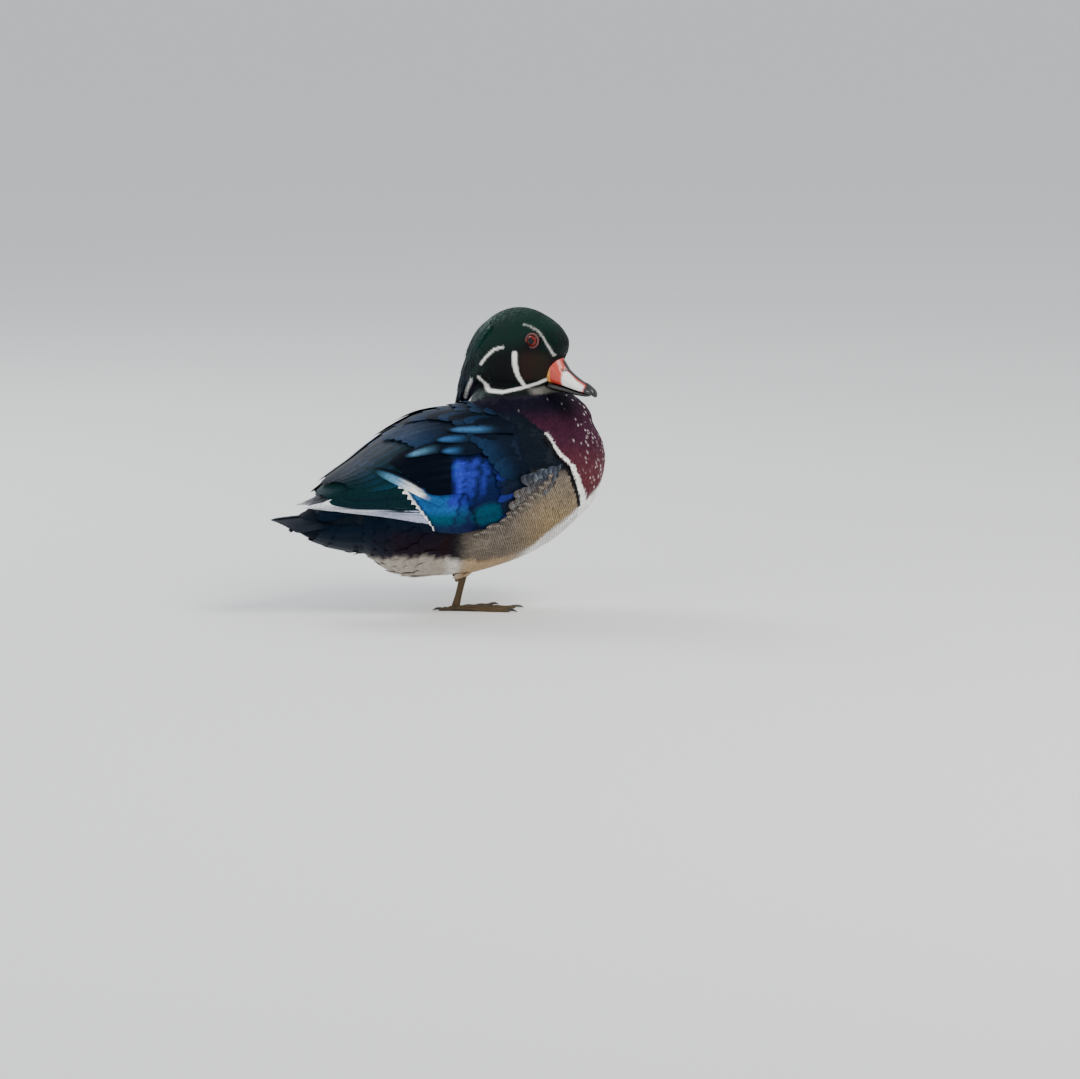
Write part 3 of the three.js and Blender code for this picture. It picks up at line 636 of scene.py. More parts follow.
def body_colour(p, fleck=None):
    """The trunk and neck's colours; fleck, a chance for each point, sets the breast's pale flecks."""
    x, y, z = p.T
    a = np.abs(y)
    ahead = breast_front(p)
    c = spread_over(p, BACK)
    c = lay(c, BACK_BLUE, 0.4 * smooth(z, 150, 165) * (1 - smooth(x, 20, 50)))
    c = lay(c, RUMP, smooth(-x, 60, 80))
    # flanks, greyer towards the wing and buff below
    tan = lay(spread_over(p, FLANK_GREY), FLANK_BUFF, smooth(x, 30, 75) * (1 - smooth(z, 70, 116)))
    # the flank's rear top painted blue-grey: painted reflection of the sky, in shade
    tan = lay(tan, BACK_BLUE, 0.45 * (1 - smooth(x, 22, 48)) * smooth(z, 62, 84))
    share = flank_share(p)[:, None]
    c = c * (1 - share) + tan * share
    # the rear side, maroon and deepened with painted shade, and the belly, white in front and painted grey
    # behind, its white in shade
    wander = 2.5 * np.sin(x * 0.31) + 1.6 * np.sin(x * 0.83 + a * 0.2)
    rear = (1 - smooth(x, -20, 0)) * (1 - smooth(z, 64, 78))
    # the rear side below the wing: its real dark and maroon colours, deepened with painted shade
    c = lay(c, RUMP, rear)
    c = lay(c, SHADED_RUMP_MAROON, rear * smooth(x + wander, -84, -52))
    edge = table_at(BELLY_EDGE, x)
    edge = edge + 0.45 * wander * (1 - smooth(x, 20, 40))
    under = (1 - smooth(z, edge - 3, edge + 2.5)) * smooth(x, -88, -74)
    # the belly's grey behind is painted shade on its white
    pale = lay(spread_over(p, SHADED_BELLY_GREY), BELLY_TAN, smooth(x, -8, 4) * (1 - smooth(x, 34, 52)))
    pale = lay(pale, WHITE, smooth(x, 44, 60))
    pale = lay(pale, WHITE, 0.5 * band(np.abs(x + 8), 5, 4))
    c = c * (1 - under[:, None]) + pale * under[:, None]
    # breast and neck
    breast = smooth(ahead, -0.4, 0.4) * smooth(z, edge - 1, edge + 1.5)
    chestnut = lay(spread_over(p, CHESTNUT), MAROON, smooth(z, 112, 150))
    chestnut = lay(chestnut, COLLAR, smooth(z, 154, 172) * (1 - 0.5 * smooth(x, 84, 104)))
    if fleck is not None:
        dense = 0.03 + 0.75 * smooth(x, 86, 120) * (1 - 0.4 * smooth(z, 150, 172))
        chestnut = lay(chestnut, FLECK, (fleck < dense) * 0.9)
    c = c * (1 - breast[:, None]) + chestnut * breast[:, None]
    c = lay(c, COLLAR, smooth(z, 160, 170) * smooth(x, -4, 12) * (1 - breast))
    gap, along = near_line(x, z, BREAST_BAR)
    side = smooth(a, 18, 24)
    c = lay(c, BLACK, band(np.abs(ahead + 4.2), 3.0, 0.6) * side * (along > 0.01) * (along < 0.995))
    return lay(c, WHITE, band(gap, mix(0.9, 3.3, along**1.3), 0.45) * side)


# The skin: one surface over trunk, neck, head, thigh and the beds of the wings


def wing_bed(side):
    """The solid arm and hand under the folded wing's feathers."""
    x = np.linspace(76, -100, 40)
    across = np.linspace(0, 1, 14)
    gx, ga = np.meshgrid(x, across, indexing="ij")
    inset = mix(0, 9, smooth(gx, 40, -40))
    upper, lower = table_at(WING_TOP, gx) + inset / 2 + 3, table_at(WING_EDGE, gx) - inset - 3
    angle = np.radians(mix(upper, lower, ga)) * side
    u = wing_form.place_of(gx)
    outer = wing_form.point(u, angle, mix(-2.4, -4.4, smooth(gx, 30, -20)))
    inner = wing_form.point(u, angle, mix(-12, -7.5, smooth(gx, -60, -95)))
    points = np.vstack([outer.reshape(-1, 3), inner.reshape(-1, 3)])
    return outward(mesh_piece("wing_bed", points, sheet_faces(*gx.shape)))


def make_skin():
    parts = [
        loft("trunk_core", trunk_form, 60, 72, -SKIN_DEPTH),
        loft("neck_core", neck_form, 30, 56, -SKIN_DEPTH),
        loft("head_core", head_form, 50, 56, -1.1),
        loft("tail_core", tail_form, 30, 40, -SKIN_DEPTH),
        loft("thigh_core", Form(THIGH, leg_frame), 24, 32, -SKIN_DEPTH),
        wing_bed(1),
        wing_bed(-1),
    ]
    skin = fused("skin", parts, VOXEL)
    # the creases where head, neck and trunk meet are eased
    p = points_of(skin)
    a, b = values_of(skin.data.edges, "vertices", 2).T
    degree = np.bincount(np.concatenate([a, b]), minlength=len(p))[:, None]
    x, _, z = p.T
    throat = smooth(z, 138, 150) * (1 - smooth(z, 180, 186)) * smooth(x, -2, 12)
    ease = np.maximum(throat, 0.12)[:, None]
    for step in range(46):
        total = np.zeros_like(p)
        np.add.at(total, a, p[b])
        np.add.at(total, b, p[a])
        amount = ease if step < 4 else np.where(ease > 0.2, ease, 0)
        p = p + 0.6 * amount * (total / degree - p)
    move_points(skin, p)
    skin.data.shade_smooth()
    return skin


def unwrap(p):
    """Places on an unwrap of the skin: the body rolled out round its length, the head round its height."""
    f, out, z = head_places(p)
    head = z > 182
    roll = np.arctan2(p[:, 1], p[:, 2] - 100) / (2 * np.pi) + 0.5
    body_uv = np.stack([0.02 + 0.96 * roll, 0.02 + 0.6 * (p[:, 0] + 160) / 290], -1)
    turn = np.arctan2(out, f + 4) / (2 * np.pi) + 0.5
    head_uv = np.stack([0.02 + 0.96 * turn, 0.66 + 0.32 * np.clip((z - 178) / 74, 0, 1)], -1)
    return np.where(head[:, None], head_uv, body_uv)


# Small feathers, set over the skin


VANE_ROWS = np.array([0.3, 0.66, 0.9])
VANE_WIDTHS = np.array([0.72, 1.0, 0.74])
VANES_A_PIECE = 10500
BAKE_PATCH = 0.003
CELL = 3.0


def small_vanes(name, root, lie, normal, length, width, rise, round_over, colour_at):
    """Closed, cambered vanes: a root point, three rows of three points and a tip point each."""
    n = len(root)
    side = np.cross(normal, lie)
    side /= np.linalg.norm(side, axis=1, keepdims=True)
    s = np.array([0, *np.repeat(VANE_ROWS, 3), 1])
    t = np.array([0, *(-1, 0, 1) * 3, 0])
    profile = np.array([0, *np.repeat(VANE_WIDTHS, 3), 0])
    along = s[None, :] * length[:, None]
    across = t[None, :] * profile[None, :] * width[:, None] / 2
    camber = (1 - np.abs(t))[None, :] * profile[None, :] * width[:, None] * 0.07
    sag = (along**2 + across**2) / (2 * round_over)
    up = -0.25 + rise * along + camber - sag
    p = root[:, None, :] + along[..., None] * lie[:, None, :] + across[..., None] * side[:, None, :]
    points = (p + up[..., None] * normal[:, None, :]).reshape(-1, 3)
    k = len(s)
    faces = [(0, 1, 2), (0, 2, 3), (0, 3, 1)]
    for o in (1, 4):
        for q in (0, 1):
            faces += [(o + q, o + 3 + q, o + 4 + q), (o + q, o + 4 + q, o + 1 + q)]
        faces += [(o + 2, o + 5, o + 3), (o + 2, o + 3, o)]
    faces += [(7, 10, 8), (8, 10, 9), (9, 10, 7)]
    corners = (np.array(faces)[None] + (np.arange(n) * k)[:, None, None]).ravel()
    mesh = bpy.data.meshes.new(name)
    mesh.vertices.add(len(points))
    mesh.vertices.foreach_set("co", (points * MM).ravel())
    mesh.loops.add(len(corners))
    mesh.polygons.add(len(corners) // 3)
    mesh.loops.foreach_set("vertex_index", corners.astype(np.int32))
    mesh.polygons.foreach_set("loop_start", np.arange(0, len(corners), 3, dtype=np.int32))
    mesh.update(calc_edges=True)
    piece = bpy.data.objects.new(name, mesh)
    bpy.context.scene.collection.objects.link(piece)
    s, t = np.tile(s, n), np.tile(t, n)
    colours = colour_at(points, np.repeat(np.arange(n), k), s, t)
    return vane_piece(piece, points, colours, s, t, np.repeat(root, k, axis=0))


def vane_piece(piece, points, colours, s, t, home):
    """Gives vanes their colours, their places along and across, the flank's bars and the bake map."""
    paint(piece, colours)
    number_on(piece, s, "along")
    number_on(piece, t, "across")
    number_on(piece, flank_share(points), "fine_bars")
    bake_map(piece, unwrap(home) + BAKE_PATCH / 2 * np.stack([t, 2 * s - 1], -1))
    crisp(piece)
    return piece


def scattered(skin, spacing_at, seed):
    """Points spread over the skin, no two nearer than the spacing there; their normals too."""
    draw = np.random.default_rng(seed)
    mesh = skin.data
    mesh.calc_loop_triangles()
    tris = np.empty(len(mesh.loop_triangles) * 3, np.int32)
    mesh.loop_triangles.foreach_get("vertices", tris)
    tris = tris.reshape(-1, 3)
    p, nrm = points_of(skin), normals_of(skin)
    corner = p[tris]
    centre = corner.mean(1)
    area = np.linalg.norm(np.cross(corner[:, 1] - corner[:, 0], corner[:, 2] - corner[:, 0]), axis=1) / 2
    gap = spacing_at(centre)
    weight = np.where(gap > 0, area / np.maximum(gap, 0.3) ** 2, 0)
    total = int(weight.sum() * 5)
    pick = np.searchsorted(np.cumsum(weight) / weight.sum(), draw.random(total))
    pick = np.minimum(pick, len(tris) - 1)
    r1, r2 = np.sqrt(draw.random(total)), draw.random(total)
    bary = np.stack([1 - r1, r1 * (1 - r2), r1 * r2], -1)
    spots = (corner[pick] * bary[..., None]).sum(1)
    facing = (nrm[tris[pick]] * bary[..., None]).sum(1)
    facing /= np.linalg.norm(facing, axis=1, keepdims=True)
    gaps = spacing_at(spots)
    kept, cells = [], {}
    keys = np.floor(spots / CELL).astype(int)
    for i in np.nonzero(gaps > 0)[0]:
        g, (x, y, z), key = gaps[i], spots[i], keys[i]
        reach = int(math.ceil(g / CELL))
        near = (cells.get(tuple(key + step), ()) for step in product(range(-reach, reach + 1), repeat=3))
        if all((q[0] - x) ** 2 + (q[1] - y) ** 2 + (q[2] - z) ** 2 >= g * g for some in near for q in some):
            kept.append(i)
            cells.setdefault(tuple(key), []).append((x, y, z))
    return spots[kept], facing[kept]


def headness(p):
    """1 on the head and crest, 0 on the neck and trunk, eased between."""
    f, _, z = head_places(p)
    floor_z = np.interp(f, [-60, -45, -35, -20, 0, 20, 45], [163, 167, 169.5, 175.5, 177.5, 179, 182])
    return smooth(z, floor_z - 1.5, floor_z + 1.5) * (p[:, 0] > -12)


def lie_of(p, n):
    """The way that feathers point, laid flat on the skin."""
    x, _, z = p.T
    f, _, _ = head_places(p)
    c, s = math.cos(HEAD_TURN), math.sin(HEAD_TURN)
    down_head = smooth(-f, 8, 40)[:, None]
    back, down = -np.array([[c, s, 0.0]]), -np.array([[0, 0, 1.0]])
    head_flow = back * (1 - 0.75 * down_head) + down * (0.1 + 0.9 * down_head)
    front = smooth(x, 70, 118)
    drop = 0.12 + 1.1 * front + 0.8 * smooth(z, 150, 176) * smooth(x, 5, 40)
    lower = smooth(z, 40, 75)
    body_flow = np.stack([-np.ones_like(x), np.zeros_like(x), -drop * lower], -1)
    w = headness(p)[:, None]
    flow = body_flow * (1 - w) + head_flow * w
    flow = flow - (flow * n).sum(1, keepdims=True) * n
    size = np.linalg.norm(flow, axis=1, keepdims=True)
    return np.where(size > 1e-6, flow / np.maximum(size, 1e-9), np.array([[-1.0, 0, 0]]))


def wing_places(p):
    """Place along and degrees from the top of points on the folded wing."""
    x, z = p[:, 0], p[:, 2]
    _, top, bottom, middle, half, _ = np.moveaxis(wing_form.at(wing_form.place_of(x)), -1, 0)
    reach = np.where(z > middle, top - middle, middle - bottom)
    return x, np.degrees(np.arctan2(np.abs(p[:, 1]) / half, (z - middle) / reach))


def under_wing(p):
    """True where the folded wing's long feathers hide the skin."""
    x, angle = wing_places(p)
    inside = (angle > table_at(WING_TOP, x) + 7) & (angle < table_at(WING_EDGE, x) - 11)
    return inside & (x < 34) & (x > -128)


def make_coat(skin):
    """The small feathers of head and body, in pieces under the limit."""

    def spacing(p):
        f, out, z = head_places(p)
        w = headness(p)
        head_gap = 1.0 + 0.45 * smooth(np.abs(f - 20), 20, 50)
        bar_gap, _ = near_line(p[:, 0], p[:, 2], BREAST_BAR)
        body_gap = 2.0 + 0.5 * (1 - smooth(p[:, 2], 120, 165)) + 0.9 * (1 - smooth(p[:, 0], 20, 90))
        body_gap = np.where(bar_gap < 6, 1.5, body_gap)
        gap = np.where(w > 0.5, head_gap, body_gap)
        eye_gap = np.min([np.linalg.norm(p - eye_middle(side), axis=1) for side in (1, -1)], axis=0)
        bill = (f > 35) & (z < 214) & (z > 184) & (np.abs(out) < 10)
        hidden = under_wing(p) | (eye_gap < np.where(f > EYE["forward"] + 1, 9.2, 7.4)) | bill
        return np.where(hidden, 0, gap)

    spots, facing = scattered(skin, spacing, 31)
    draw = np.random.default_rng(8)
    w = headness(spots)
    lie = lie_of(spots, facing)
    lie = lie + draw.normal(0, 0.07, len(spots))[:, None] * np.cross(facing, lie)
    lie /= np.linalg.norm(lie, axis=1, keepdims=True)
    gap = np.maximum(spacing(spots), 1.0)
    fleck = draw.random(len(spots))
    strength = draw.random(len(spots)) ** 1.5
    shade = draw.normal(1, 0.07, len(spots))
    size = draw.normal(1, 0.08, len(spots))
    pieces = []

    def dress(name, group, length, width, rise, bend, colour):
        for number, some in enumerate(np.array_split(group, math.ceil(len(group) / VANES_A_PIECE))):
            where = (spots[some], lie[some], facing[some], length[some], width[some], rise, bend)
            tint = lambda q, who, along, across: colour(q, some[who], along, across)
            pieces.append(small_vanes(f"{name}_{number}", *where, tint))

    def head_tint(q, who, along, across):
        return head_colour(q) * shade[who][:, None]

    def body_tint(q, who, along, across):
        spotted = (along > 0.95) | ((along > 0.8) & (across == 0))
        place = 0.6 * q + 0.4 * spots[who]
        colour, flecked = body_colour(place), body_colour(place, np.where(spotted, fleck[who], 1.0))
        return mix(colour, flecked, strength[who][:, None]) * shade[who][:, None]

    f, _, _ = head_places(spots)
    long_head = 3.0 + 7 * smooth(-f, 8, 40)
    wide_head = 1.35 + 0.3 * smooth(-f, 0, 30)
    long_body = gap * (3.2 + 1.2 * flank_share(spots))
    dress("head_coat", np.nonzero(w > 0.5)[0], long_head * size, wide_head * size, 0.11, 26.0, head_tint)
    dress("body_coat", np.nonzero(w <= 0.5)[0], long_body * size, gap * 2.1 * size, 0.08, 50.0, body_tint)
    return pieces


# Long feathers of the wings and tail


def long_vane(points_at, rows, columns, tip, width, thick=(0.55, 0.16), slant=0.0):
    """A closed vane, placed by points_at(s, offset, height); slant is how much longer its upper edge is."""
    s = 1 - (1 - np.linspace(0, 1, rows)) ** 1.35
    t = np.linspace(-1, 1, columns)
    gs, gt = np.meshgrid(s, t, indexing="ij")
    past = np.clip((gs - tip) / (1.0001 - tip), 0, 1)
    profile = (0.72 + 0.28 * smooth(gs, 0, 0.5)) * np.sqrt(np.clip(1 - past**2.2, 0, 1))
    offset = gt * profile * width / 2
    shaft = np.exp(-((gt / 0.12) ** 2)) * 0.25
    half = mix(thick[0], thick[1], np.abs(gt)) / 2 * (0.35 + 0.65 * np.minimum(1, profile + 0.1))
    reach = gs * (1 + slant * gt)
    top = points_at(reach, offset, half + shaft * (1 - gs))
    bottom = points_at(reach, offset, -half)
    points = np.vstack([top.reshape(-1, 3), bottom.reshape(-1, 3)])
    faces = sheet_faces(rows, columns, flip=True)
    return points, faces, np.tile(gs.ravel(), 2), np.tile(gt.ravel(), 2)


def on_wing(form, start, end, bow, lifts):
    """Places a vane along a line on a form, from start to end, each as place along and angle in degrees."""

    def points_at(s, offset, height):
        x = mix(start[0], end[0], s)
        angle = mix(start[1], end[1], s) + bow * 4 * s * (1 - s)
        x2 = mix(start[0], end[0], s + 0.02)
        angle2 = mix(start[1], end[1], s + 0.02) + bow * 4 * (s + 0.02) * (0.98 - s)
        row = form.at(form.place_of(x))
        reach = np.where(angle < 90, row[..., 1] - row[..., 3], row[..., 3] - row[..., 2])
        per_radian = (reach + row[..., 4]) / 2
        dx, da = x2 - x, np.radians(angle2 - angle) * per_radian
        size = np.hypot(dx, da)
        dx, da = dx / size, da / size
        u = form.place_of(x - da * offset)
        turned = np.radians(angle) + dx * offset / per_radian
        lift = mix(lifts[0], lifts[1], s)
        return form.point(u, turned, lift + height)

    return points_at


class Plumes:
    """Collects long vanes and turns them into one piece."""

    def __init__(self):
        self.points, self.faces, self.along, self.across, self.colours, self.home = [], [], [], [], [], []
        self.count = 0

    def add(self, points_at, width, colour, rows=18, columns=7, tip=0.72, thick=(0.55, 0.16), slant=0.0):
        points, faces, s, t = long_vane(points_at, rows, columns, tip, width, thick, slant)
        self.points.append(points)
        self.faces.append(faces + self.count)
        self.count += len(points)
        self.along.append(s)
        self.across.append(t)
        self.colours.append(colour(points, s, t))
        self.home.append(np.repeat(points[:1], len(points), axis=0))

    def piece(self, name, mirror=False):
        flip = [1, -1 if mirror else 1, 1]
        points = np.vstack(self.points) * flip
        made = outward(mesh_piece(name, points, np.vstack(self.faces)), weld=False)
        s, t = np.concatenate(self.along), np.concatenate(self.across)
        return vane_piece(made, points, np.vstack(self.colours), s, t, np.vstack(self.home) * flip)


SILVER = tone("b9bcd6")
SILVER_WHITE = tone("f0f1f6")
SPECULUM = tone("1f5791")
SPECULUM_TEAL = tone("0e4355")
VIOLET = tone("2e38a4")
NAVY = tone("10183c")
SLATE = tone("121a26")
PALE_TEAL = tone("6fa6bd")
TERTIAL_GREEN = tone("0a2422")
VELVET = tone("040506")
# painted sheen: the sky's blue highlight on glossy scapulars and tertials
STEEL_BLUE_SHEEN = tone("33608e")
SCAPULAR = tone("070d14")
TAIL_BLACK = tone("060c13")


def blot(x, angle, at, size):
    """1 inside an oval at a place along and angle, easing to 0 round it."""
    return 1 - smooth(np.hypot((x - at[0]) / size[0], (angle - at[1]) / size[1]), 0.75, 1.15)


def covert_colour(p):
    """Blue of the speculum and coverts: violet band, navy front, teal below."""
    x, angle = wing_places(p)
    c = spread_over(p, SPECULUM)
    c = lay(c, SPECULUM_TEAL, smooth(angle, 98, 107))
    c = lay(c, NAVY, smooth(angle, 109, 116) * 0.8)
    lean = x - 0.25 * (84 - angle) + 1.2 * np.sin(angle * 0.9)
    c = lay(c, VIOLET, smooth(lean, -21, -17) * (1 - smooth(angle, 93, 101)))
    c = lay(c, NAVY, 0.4 * smooth(lean, -10, -8))
    c = lay(c, NAVY, band(np.abs(lean + 9), 1.0, 0.7) * 0.9)
    c = lay(c, NAVY, smooth(lean, -2, 2))
    c = lay(c, VIOLET, 0.5 * smooth(lean, 4, 6) * (1 - smooth(lean, 8, 11)) * (1 - smooth(angle, 84, 96)))
    c = lay(c, VELVET, 0.9 * (1 - smooth(angle + 1.6 * np.sin(x * 0.4), 64, 68)))
    c = lay(c, SPECULUM_TEAL, 0.9 * blot(x, angle, (12, 106), (15, 9)))
    c = lay(c, SLATE, smooth(x, 24, 34))
    return c


def plain(colour, tip_colour=None, tip_at=0.9, soft=0.03, edge=None):
    """A feather of one colour, its tip or its edges in another."""

    def colour_at(p, s, t, *_):
        c = spread_over(p, colour)
        if edge is not None:
            c = lay(c, edge, smooth(np.abs(t), 0.55, 1) * 0.7)
        if tip_colour is not None:
            c = lay(c, tip_colour, smooth(s, tip_at - soft, tip_at + soft))
        return c

    return colour_at


def primary_colour(p, s, t, share, k):
    c = lay(spread_over(p, SILVER), SILVER_WHITE, smooth(s, 0.45, 0.8))
    c = lay(c, TERTIAL_GREEN, smooth(share + 0.3 * (1 - s), 0.5, 0.58))
    return lay(c, SLATE, smooth(-t, 0.55, 1.0) * 0.5)


def secondary_colour(p, s, t, share, k):
    c = lay(covert_colour(p), PALE_TEAL, 0.5 * smooth(share, 0.5, 0.8) * smooth(s, 0.6, 0.85))
    c = lay(c, BLACK, smooth(s, 0.93, 0.945) * 0.6)
    return lay(c, WHITE, smooth(s, 0.966, 0.974))


def edged_colour(p, s, t, share, k):
    pale = lay(spread_over(p, mix(SPECULUM, PALE_TEAL, 0.6)), WHITE, 1 - smooth(s, 0.4, 0.66))
    pale = lay(pale, TERTIAL_GREEN, smooth(s, 0.62, 0.98))
    base = lay(covert_colour(p), VELVET, smooth(s, 0.14, 0.3) * smooth(t, -0.4, 0.2))
    return lay(base, pale, (1 - smooth(t, -0.2, 0.4)) * smooth(s, 0.2, 0.34))


def tipped_covert_colour(p, s, t, share, k):
    return lay(covert_colour(p), BLACK, smooth(s, 0.92, 0.97) * 0.7)


def lesser_covert_colour(p, s, t, share, k):
    c = lay(covert_colour(p + [6, 0, 0]), VIOLET, 0.35 * (k % 3 == 0) * smooth(s, 0.3, 0.7))
    return lay(c, BLACK, smooth(np.abs(t), 0.5, 1) * 0.5)


def tertial_colour(p, s, t, share, k):
    c = spread_over(p, mix(TERTIAL_GREEN, SCAPULAR, share))
    # painted sheen: a faint blue highlight along one side of each tertial
    c = lay(c, STEEL_BLUE_SHEEN, 0.16 * smooth(-t, 0.3, 0.9) * smooth(s, 0.3, 0.6) * (1 - smooth(s, 0.75, 0.95)))
    return lay(c, VELVET, 0.7 * smooth(t, 0.6, 1))


def velvet_colour(p, s, t, share, k):
    return lay(covert_colour(p), VELVET, 1 - smooth(p[:, 0] - 8 * s, -22, -18))


def sheen_stroke_colour(pale, sheen_from):
    """A dark feather with a painted sheen stroke, a blue highlight, which begins at that share of its
    length.
    """

    def colour_at(p, s, t, share, k):
        # painted sheen: a blue highlight along the feather
        painted_sheen = smooth(s, sheen_from, sheen_from + 0.4) * (1 - smooth(s, 0.84, 1.0))
        painted_sheen = 0.85 * painted_sheen * (1 - smooth(np.abs(t + 0.2), 0.1, 0.85))
        return lay(spread_over(p, SCAPULAR), mix(STEEL_BLUE_SHEEN, PALE_TEAL, pale), painted_sheen)

    return colour_at


def inner_colour(p, s, t, share, k):
    return plain(SCAPULAR, BACK_BLUE if k % 2 else None, 0.72, 0.25)(p, s, t)


# The scapulars' painted sheen strokes, blue highlights of the sky on their gloss: root, tip, how pale, and
# where along the feather the colour begins.
SHEEN_STROKES = [
    ((38, 46), (-18, 40), 0.1, 0.25),
    ((22, 50), (-30, 46), 0.0, 0.4),
    ((6, 54), (-54, 50), 0.6, 0.5),
    ((16, 58), (-26, 55), 0.0, 0.5),
]
SECONDARY_SHAPE = {"tip": 0.985, "rows": 34, "thick": (0.3, 0.12), "slant": 0.045}


def make_wing(side):
    """One folded wing's long feathers, tier over tier."""
    draw = np.random.default_rng(12)
    plumes = Plumes()

    def feather(root, end, width, lift, colour, share=0.0, k=0, bow=0, stray=1.0, **shape):
        end = (end[0] + draw.normal(0, 0.7) * stray, end[1] + draw.normal(0, 0.5) * stray)
        shade = draw.normal(1, 0.10)
        tint = lambda p, s, t: colour(p, s, t, share, k) * shade
        plumes.add(on_wing(wing_form, root, end, bow, lift), width, tint, **shape)

    def tier(count, roots, tips, width, lift, climb, colour, bow=(0, 0), late=1.0, **shape):
        """A row of feathers from the first root and tip to the last, each one climb above the one before."""
        for k in range(count):
            share = k / (count - 1)
            root = [mix(roots[0][i], roots[1][i], share) for i in (0, 1)]
            end = mix(tips[0][0], tips[1][0], share**late), mix(tips[0][1], tips[1][1], share)
            size = mix(*width, share) if isinstance(width, tuple) else width
            raised = [lift[i] + climb[i] * k for i in (0, 1)]
            feather(root, end, size, raised, colour, share, k, mix(*bow, share), **shape)

    streaked = plain(SCAPULAR, BACK_BLUE, 0.7, 0.3)
    outer = plain(SCAPULAR, BACK_BLUE, 0.8, 0.25)
    hidden = plain(TERTIAL_GREEN)
    tier(6, ((-30, 72), (-30, 28)), ((-112, 66), (-121, 24)), 15, (-3.6, -2.6), (0, 0.2), hidden, tip=0.7)
    # primaries, secondaries and the coverts over their roots
    spots = ((-12, 111), (-12, 78)), ((-133, 86), (-99, 66))
    tier(11, *spots, (9, 12), (-3.4, -3.2), (0.12, 0.3), primary_colour, (6, 4), 0.9, tip=0.8)
    spots = ((24, 108), (16, 60)), ((-34, 113), (-66, 60))
    tier(11, *spots, 11.5, (-2.4, -2), (0.08, 0.16), secondary_colour, (4, 0), stray=0.2, **SECONDARY_SHAPE)
    spots = ((48, 106), (38, 58)), ((2, 114), (-18, 64))
    tier(10, *spots, 12.5, (-1.7, -0.9), (0, 0.14), tipped_covert_colour, tip=0.8)
    spots = ((62, 100), (56, 66)), ((24, 112), (14, 70))
    tier(9, *spots, 9.5, (-4, 0.0), (0, 0.1), lesser_covert_colour, tip=0.7)
    # tertials, and the two with pale edges below them
    spots = ((10, 66), (18, 20)), ((-92, 62), (-116, 16))
    tier(7, *spots, 15, (-0.8, 0), (0, 0.3), tertial_colour, (2, -2), tip=0.7)
    spots = ((-26, 93), (-29, 90)), ((-76, 51), (-78, 47))
    tier(2, *spots, 7.5, (-0.4, 0.9), (0, 0.3), edged_colour, (3, 3), stray=0.3, tip=0.55)
    spots = ((16, 82), (12, 56)), ((-40, 80), (-66, 50))
    tier(6, *spots, 13, (-0.8, 1.2), (0, 0.3), velvet_colour, tip=0.66)
    # scapulars
    spots = ((26, 58), (18, 30)), ((-46, 46), (-66, 16))
    tier(6, *spots, 12, (-0.6, 1.8), (0, 0.2), streaked, tip=0.6)
    for k, (root, end, pale, sheen_from) in enumerate(SHEEN_STROKES):
        feather(root, end, 11, (0.4, 3.4 - 0.2 * k), sheen_stroke_colour(pale, sheen_from), tip=0.35)
    spots = ((66, 78), (52, 32)), ((20, 78), (-12, 34))
    tier(9, *spots, 13, (-5, 1.4), (0, 0.16), outer, tip=0.6)
    spots = ((56, 44), (36, 22)), ((6, 38), (-52, 10))
    tier(7, *spots, 14, (-4.5, 2.6), (0, 0.16), inner_colour, tip=0.6)
    return plumes.piece("wing_feathers_right" if side > 0 else "wing_feathers_left", mirror=side < 0)


def make_flank(side):
    """The flank's longest feathers: mottled ones along its top, and loose ones over the wing's edge."""
    draw = np.random.default_rng(21)
    plumes = Plumes()

    def barred(p, s, t):
        patchy = 0.5 + 0.5 * np.sin(p[:, 0] * 0.42 + 2.2 * np.sin(p[:, 2] * 0.37))
        dusk = smooth(s, 0.25, 0.6) * (0.45 + 0.55 * smooth(p[:, 2], 100, 116))
        c = lay(spread_over(p, FLANK_GREY), mix(BACK_BLUE, FLANK_GREY, 0.15), dusk)
        pale = mix(mix(WHITE, PALE_TEAL, 0.7), FLANK_GREY, 0.5)
        c = lay(c, pale, (0.05 + 0.4 * patchy) * band(np.abs(s - 0.76), 0.08, 0.08))
        return lay(c, BLACK, smooth(s, 0.88, 0.98) * 0.25)

    def loose(p, s, t):
        c = lay(body_colour(p), FLANK_GREY, 0.6)
        c = lay(c, SLATE, 0.5 * smooth(s, 0.6, 1.0))
        # a pale streak in the white belly's painted shade grey
        return lay(c, SHADED_BELLY_GREY, 0.7 * (1 - smooth(np.abs(t - 0.2), 0.05, 0.3)) * smooth(s, 0.3, 0.6))

    def row(count, tips, length, spread, width, lift, colour):
        for k in range(count):
            share = k / (count - 1)
            down = mix(tips[0][1], tips[1][1], share**0.8) + draw.normal(0, 0.8)
            tip = (mix(tips[0][0], tips[1][0], share), down)
            root = (tip[0] + length * mix(0.7, 0.95, share), tip[1] + mix(*spread, share))
            shade = draw.normal(1, 0.07)
            where = on_wing(wing_form, root, tip, 0, lift)
            plumes.add(where, width, lambda p, s, t: colour(p, s, t) * shade, tip=0.55, rows=12)

    row(12, ((58, 88), (0, 121)), 30, (14, 5), 8.5, (-2.6, 1.3), loose)
    row(10, ((62, 84), (22, 112)), 26, (14, 6), 8.5, (-2.4, 1.7), loose)
    row(11, ((76, 88), (28, 100)), 24, (9, 7), 9, (-2.6, 1.2), barred)
    row(11, ((79, 82), (32, 92)), 24, (9, 8), 9, (-2.6, 1.4), barred)
    row(10, ((80, 76), (38, 84)), 24, (8, 8), 9, (-2.6, 1.6), barred)
    return plumes.piece("flank_feathers_right" if side > 0 else "flank_feathers_left", mirror=side < 0)


